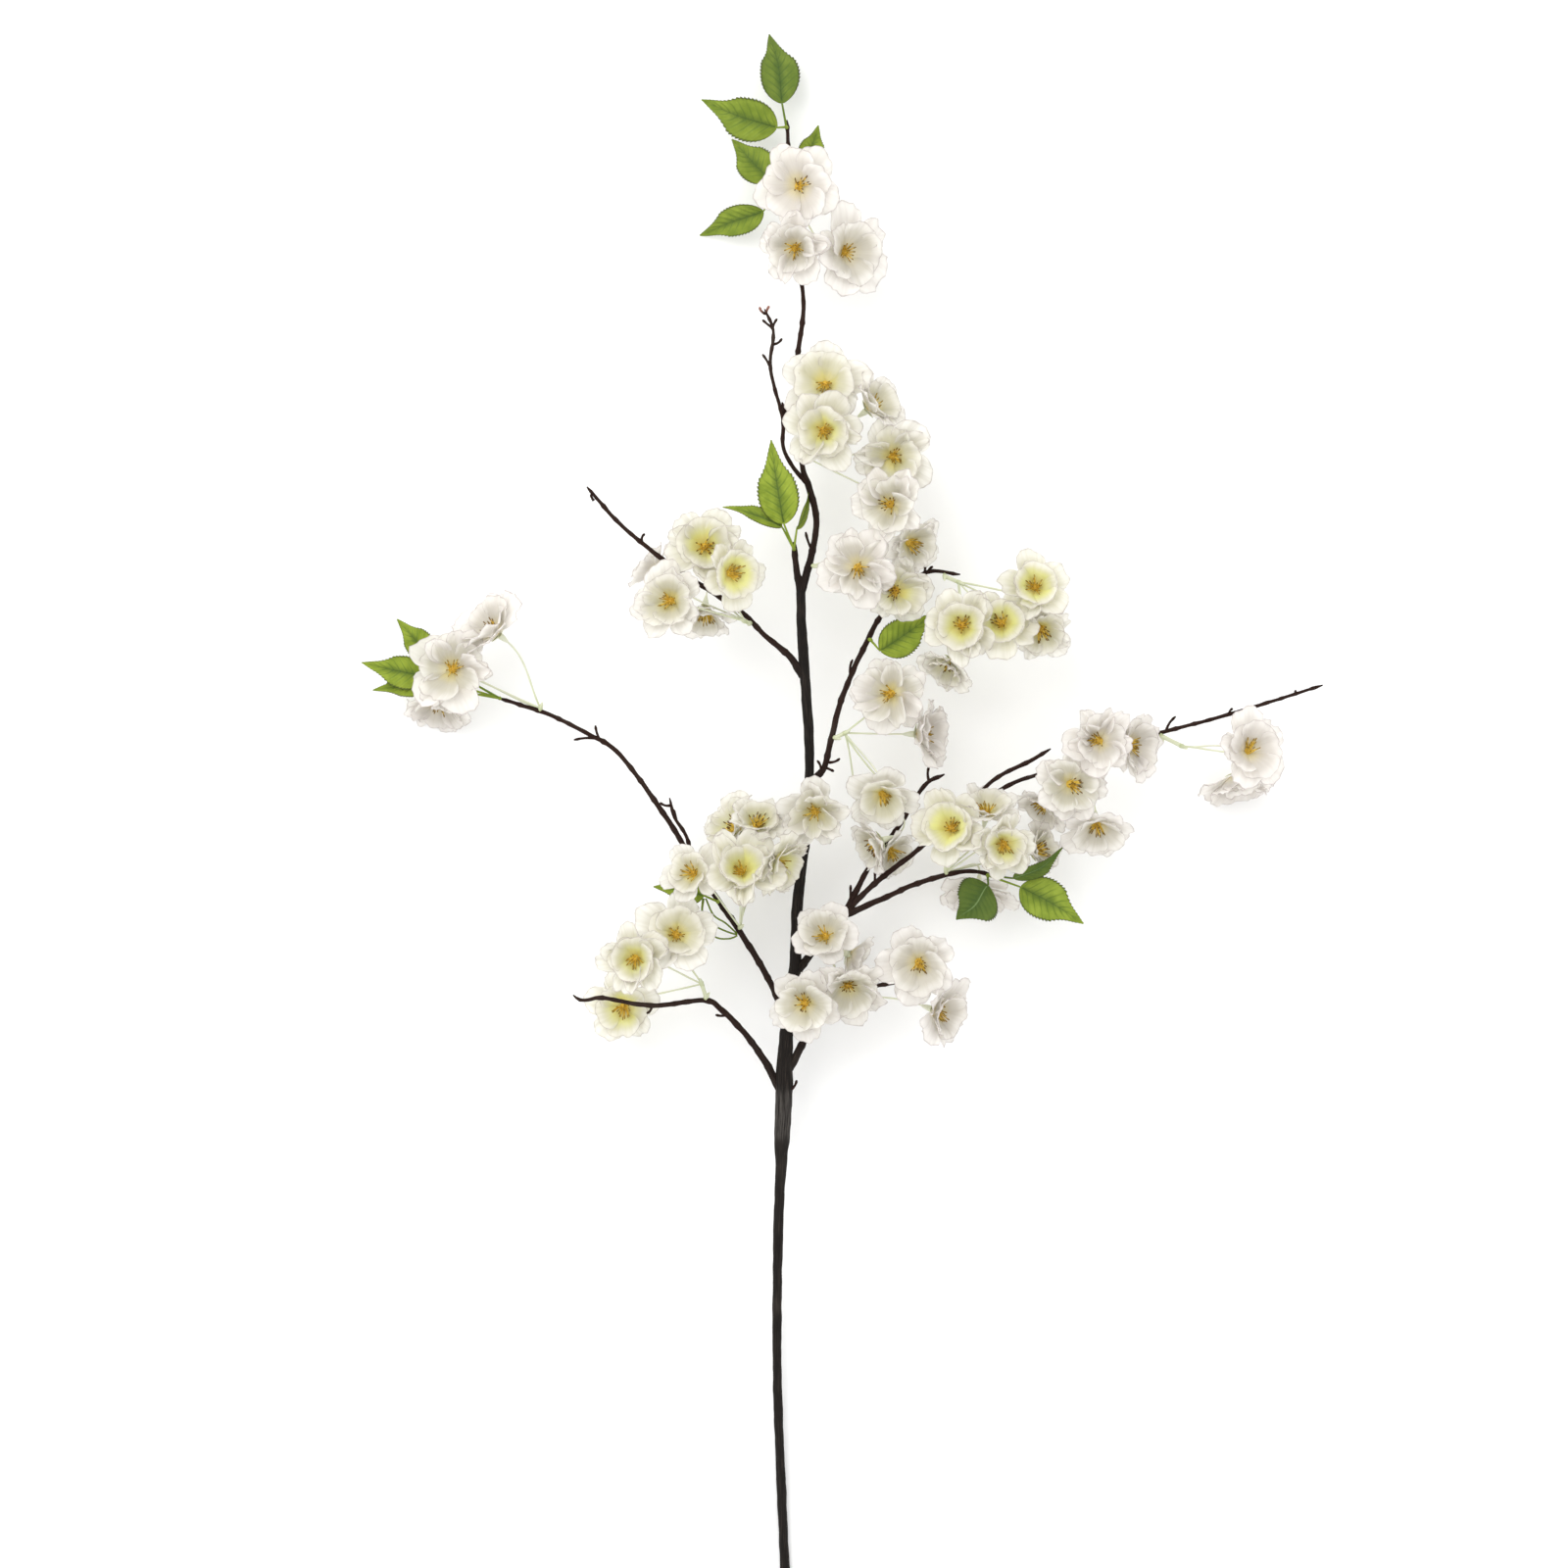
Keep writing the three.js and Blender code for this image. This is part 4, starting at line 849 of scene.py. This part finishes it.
# The nearest place on a limb's middle line, with the limb's radius and direction there
def twigAt(at):
    best = None
    for path in limbs.values():
        for (x0, y0, w0, z0), (x1, y1, w1, z1) in zip(path, path[1:]):
            a, b = place(x0, y0, z0), place(x1, y1, z1)
            share = np.clip(np.dot(at - a, b - a) / np.dot(b - a, b - a), 0, 1)
            near = a + share * (b - a)
            distance = np.linalg.norm(near - at)
            if best is None or distance < best[0]:
                best = (distance, near, (w0 + share * (w1 - w0)) * photoGrid["mmPerPx"] / 2, unit(b - a))
    return best[1:]


# Lengths in mm
budLook = {
    "off": 1.2, "low": -3.0, "high": 4.6, "rings": 13, "sides": 10, "neck": 0.35, "belly": 1.35,
    "taper": 0.25, "ridge": 0.14, "forkRadii": (1.7, 1.5, 1.4, 1.4, 1.5, 1.3),
}


# Where a bud sits on its twig, on the side of what it carries, and the way it points
def budPlace(seat, targets, upward):
    near, radius, along = twigAt(place(*seat))
    towards = np.array([0, 0, float(upward)])
    for target in targets:
        towards += unit(target - near)
    towards = unit(towards - along * np.dot(towards, along))
    return near + towards * (radius + budLook["off"]), towards


def eggRadii(share, belly, taper, neck):
    return belly * np.sin(math.pi * share ** 0.8) ** 0.8 * (1 - taper * share) + neck


# A bud of small overlapping scales, as an egg with ridges, its tip towards what it carries
def budEgg(pen, middle, way, seed):
    look = budLook
    heights = np.linspace(look["low"], look["high"], look["rings"])[:, None]
    share = (heights - look["low"]) / (look["high"] - look["low"])
    ridges = 1 + look["ridge"] * np.sin(3 * circle(look["sides"]) + heights * 1.9 + seed)
    radii = eggRadii(share, look["belly"], look["taper"], look["neck"]) * ridges
    pen.tube(middle + heights * way, radii, look["sides"], 0, 0.95 - 0.6 * share)


def makeSprays():
    seed = 0
    for name, spray in sprays.items():
        blooms = [bloomFrame(row) for row in spray["blooms"]]
        fork = place(*spray["fork"]) if "fork" in spray else None
        targets = [bloom["hub"] for bloom in blooms] if fork is None else [fork]
        bud, way = budPlace(spray["seat"], targets, 0)
        start = bud if fork is None else fork
        petals, stalks, stamens = Pen(), Pen(), Pen()
        budEgg(stalks, bud, way, seed)
        if fork is not None:
            share = np.linspace(0, 1, len(budLook["forkRadii"]))[:, None]
            stalks.tube(bud + share * (fork - bud), budLook["forkRadii"], budLook["sides"], 0, 0.5)
            budEgg(stalks, fork, unit(fork - bud), seed)
        for bloom in blooms:
            seed += 1
            bloomPetals(petals, bloom, seed)
            bloomStalk(stalks, bloom, start, seed)
            bloomStamens(stamens, bloom, seed)
        petalNodes = [node for node in nodeNames if node.startswith(name + "_petals_")]
        petals.piece(name + "_petal_cloth", petalMaterial, petalNodes, "petals")
        stalks.piece(name + "_stalk_moulding", stalkMaterial, [name + "_stalks"], "stalks")
        stamens.piece(name + "_stamens", stamenMaterial, [name + "_stalks"], "stalks")
        print("spray", name, "made,", len(blooms), "blooms,", sum(triangles[-3:]), "triangles")


makeSprays()

# Leaves. Each group: the bud's seat, and each leaf's base, tip, width in mm, roll in degrees, how
# dark it is and how far its middle bulges to one side in mm. Loops are bare stalks from the twig
leafGroups = {
    "tipLeaves": {"seat": [804, 128, 24], "leaves": [
        [798, 103, 26, 785, 30, 0.3, 26, 10, 0.55, -1.5],
        [793, 128, 28, 716, 99, 20, 29, -15, 0.2, 1.0],
    ]},
    "topLeaves": {"seat": [806, 178, 30], "leaves": [
        [787, 184, 31, 747, 140, 22, 25, 10, 0.25, 0.8],
        [822, 164, 34, 835, 127, 38, 17, 20, 0.15, 0],
        [779, 213, 24, 714, 236, 0.3, 20, -12, 0.2, -1.2],
    ]},
    "prongLeaves": {"seat": [811, 560, 51.5], "leaves": [
        [800, 535, 56, 787, 450, 58, 27, -10, 0, 0],
        [798, 538, 54, 738, 518, 58, 16, 50, 0, 0],
        [813, 540, 52, 825, 500, 50, 12, 70, 0, 0],
    ]},
    "rightLeaf": {"seat": [886, 652, 51], "leaves": [
        [898, 664, 52, 953, 626, 52, 25, 12, 0, 0],
    ]},
    "leftLeaf": {"seat": [733, 920, 33], "leaves": [
        [718, 914, 36, 667, 905, 40, 17, 15, 0, 0],
    ], "loops": [
        [[752, 953, 35], [740, 942, 37.5], [728, 934, 38], [720, 917, 37]],
        [[752, 954, 35], [742, 951, 38], [728, 944, 39], [717, 932, 38], [718, 917, 37]],
        [[752, 955, 35], [745, 958, 37], [731, 957, 38.5],
         [717, 946, 38], [716, 930, 37], [717, 917, 37]],
    ]},
    "fanLeaves": {"seat": [1008, 892, 53.5], "leaves": [
        [1008, 903, 56, 976, 938, 52, 32, 8, 0.75, 3.0],
        [1041, 905, 56, 1105, 942, 52, 28, -10, 0.1, 0.6],
        [1034, 896, 60, 1083, 865, 72, 13, 40, 0.7, -2.6],
    ]},
    "farLeftLeaves": {"seat": [509, 713, 34], "leaves": [
        [438, 672, 38, 405, 632, 44, 19, 15, 0, 0],
        [436, 690, 36, 369, 676, 40, 22, -10, 0, 0],
        [438, 700, 32, 380, 704, 34, 15, 20, 0, 0],
    ]},
}

# Lengths in mm; fold and arch are shares of the width and the length. The outline: how full the
# leaf is, how blunt its base and how sharp its tip
leafLook = {
    "teeth": 21, "rowsPerTooth": 4, "columns": 13, "thickness": 0.35, "outline": (3.28, 0.62, 1.25),
    "fold": 0.2, "arch": 0.06, "pleats": 9.5, "pleatSlant": 1.9, "pleatDepth": 0.22,
    "ribRadius": 0.5, "ribRings": 16, "ribSides": 6, "stalkRadii": (0.85, 0.55),
    "loopRadii": (0.6, 0.6), "stalkStep": 2.0, "stalkSides": 8, "budLength": 6.6, "budBack": 2.6,
    "budNeck": 0.3, "budBelly": 1.15, "budTaper": 0.2, "budRings": 11, "budSides": 10,
}


def leafBlade(pen, row, own):
    look = leafLook
    x0, y0, z0, x1, y1, z1, width, roll, dark, sway = row
    base, tip = place(x0, y0, z0), place(x1, y1, z1)
    axis = tip - base
    along = unit(axis)
    level = unit(np.cross([0, 0, 1.0], axis))
    turn = math.radians(roll)
    across = level * math.cos(turn) + np.cross(along, level) * math.sin(turn)
    up = np.cross(along, across)
    length = np.linalg.norm(axis)
    u = np.linspace(0.0, 1.0, look["teeth"] * look["rowsPerTooth"] + 1)[:, None]
    v = np.linspace(-1, 1, look["columns"])[None, :]
    # half the width along the leaf, narrower again towards the drawn-out tip
    full, blunt, sharp = look["outline"]
    half = width / 2 * full * np.maximum(u, 0.0015) ** blunt * np.maximum(1 - u, 0.0008) ** sharp
    half = half * (1 - 0.3 * np.sin(math.pi * np.clip((u - 0.55) / 0.45, 0, 1)))
    half = half * 0.94 + 0.35
    # the saw teeth, smaller towards both ends
    tooth = (u * look["teeth"] * 0.999) % 1.0
    rim = np.clip((np.abs(v) - 0.8) / 0.2, 0, 1)
    grow = np.sin(math.pi * np.clip(u, 0.02, 0.97)) ** 0.4
    side = v * half * (1 + 0.09 * rim * tooth * grow) + np.sign(v) * rim * tooth * grow * 0.4
    forward = rim * tooth * grow * 0.013 + 0.01 * (1 - v * v)
    # the fold along the midrib, the arch, the pleats between the veins and a wavy edge
    lift = look["fold"] * np.abs(side) + look["arch"] * length * 4 * u * (1 - u)
    pleat = np.sin(2 * math.pi * (look["pleats"] * u - look["pleatSlant"] * np.abs(v) + own))
    pleat = look["pleatDepth"] * pleat * np.sin(math.pi * np.clip(np.abs(v), 0, 1))
    lift = lift + pleat * np.sin(math.pi * u)
    lift = lift + 0.5 * np.sin(7 * u + 5 * own) * v * v
    side = side + sway * np.sin(math.pi * u) ** 2
    points = base + (u + forward)[..., None] * axis + side[..., None] * across + lift[..., None] * up
    marks = np.stack([u + 0 * v, 0 * u + v, 0 * u * v + own], -1)
    pen.blade(points, marks, dark, look["thickness"])
    # the midrib stands out under the blade
    share = np.linspace(0, 0.93, look["ribRings"])
    bow = look["arch"] * length * 4 * share * (1 - share) - 0.15
    aside = sway * np.sin(math.pi * share) ** 2
    line = base + share[:, None] * axis + bow[:, None] * up + aside[:, None] * across
    pen.tube(line, look["ribRadius"] * (1 - 0.75 * share), look["ribSides"], [0.2, 0.0, own], dark)
    return base, along


def greenStalk(pen, path, radii, own, dark):  # radii at its two ends
    line = smoothPath([[*at, 0] for at in path], leafLook["stalkStep"])[:, :3]
    pen.tube(line, np.linspace(*radii, len(line)), leafLook["stalkSides"], [0.5, 0.3, own], dark)


def leafBud(pen, bud, way):
    look = leafLook
    share = np.linspace(0, 1, look["budRings"])
    radii = eggRadii(share, look["budBelly"], look["budTaper"], look["budNeck"])
    line = bud + (share * look["budLength"] - look["budBack"])[:, None] * way
    pen.tube(line, radii, look["budSides"], [0.5, 0.3, 0.5], 0.1)


def makeLeaves():
    for number, (name, group) in enumerate(leafGroups.items()):
        pen = Pen()
        bases = [place(*row[:3]) for row in group["leaves"]]
        bud, way = budPlace(group["seat"], bases, len(bases) + 1)
        for i, row in enumerate(group["leaves"]):
            own = wobble(number + 1, i)
            base, along = leafBlade(pen, row, own)
            middle = bud + 0.5 * (base - bud) + [0, 0, 1.0]
            path = [bud, middle, base, base + along * 2]
            greenStalk(pen, path, leafLook["stalkRadii"], own, row[8])
        for loop in group.get("loops", []):
            greenStalk(pen, [place(*at) for at in loop], leafLook["loopRadii"], 0.5, 0.45)
        leafBud(pen, bud, way)
        pen.piece(name + "_cloth", leafMaterial, [name], "leaves")
        print("leaf group", name, "made,", len(bases), "leaves,", triangles[-1], "triangles")


makeLeaves()
print("object made,", sum(triangles), "triangles in", len(triangles), "pieces")

# Floor, lights and camera, in metres, with the sensor in mm. frameWidth is what the camera sees
# at the height objectMiddle
studio = {
    "floorSize": 14.0, "sky": 1.2, "keyPower": 66.0, "keySize": 3.0, "keyPlace": (-1.6, 1.9, 3.2),
    "cameraHeight": 7.05, "objectMiddle": 0.05, "frameWidth": 1.056, "aimX": -0.0396, "aimY": 0.0251,
    "sensor": 36,
}
floorFinish = {
    "paint": colour(250, 250, 249), "cloud": colour(247, 247, 247), "clouds": 3.0, "gloss": 0.1,
}


def makeFloor():
    look = floorFinish
    floor = Surface("floorPaint")
    cloud = floor.noise(floor.place, look["clouds"], 2.0)
    paint = floor.mix(cloud, look["paint"], look["cloud"])
    floor.close(look, paint, 0.9 + cloud * 0.05, floor.bump(cloud, 0.02, 0.001))
    size = studio["floorSize"] / 2
    corners = [(-size, -size, 0), (size, -size, 0), (size, size, 0), (-size, size, 0)]
    mesh = bpy.data.meshes.new("floor")
    mesh.from_pydata(corners, [], [(0, 1, 2, 3)])
    mesh.materials.append(floor.material)
    made = addObject("floor", mesh)


def makeLights():
    world = bpy.data.worlds.new("studio")
    scene.world = world
    world.use_nodes = True
    sky = world.node_tree.nodes["Background"]
    sky.inputs["Color"].default_value = (1, 1, 1, 1)
    sky.inputs["Strength"].default_value = studio["sky"]
    lamp = bpy.data.lights.new("key", "AREA")
    lamp.energy = studio["keyPower"]
    lamp.size = studio["keySize"]
    key = addObject("key", lamp)
    key.location = studio["keyPlace"]
    key.rotation_euler = (-key.location).to_track_quat("-Z", "Y").to_euler()


def makeCamera():
    lens = bpy.data.cameras.new("camera")
    lens.sensor_width = studio["sensor"]
    distance = studio["cameraHeight"] - studio["objectMiddle"]
    lens.lens = studio["sensor"] * distance / studio["frameWidth"]
    camera = addObject("camera", lens)
    camera.location = (studio["aimX"], studio["aimY"], studio["cameraHeight"])
    scene.camera = camera
    scene.view_settings.view_transform = "Standard"


makeFloor()
makeLights()
makeCamera()
print("floor, lights and camera ready")
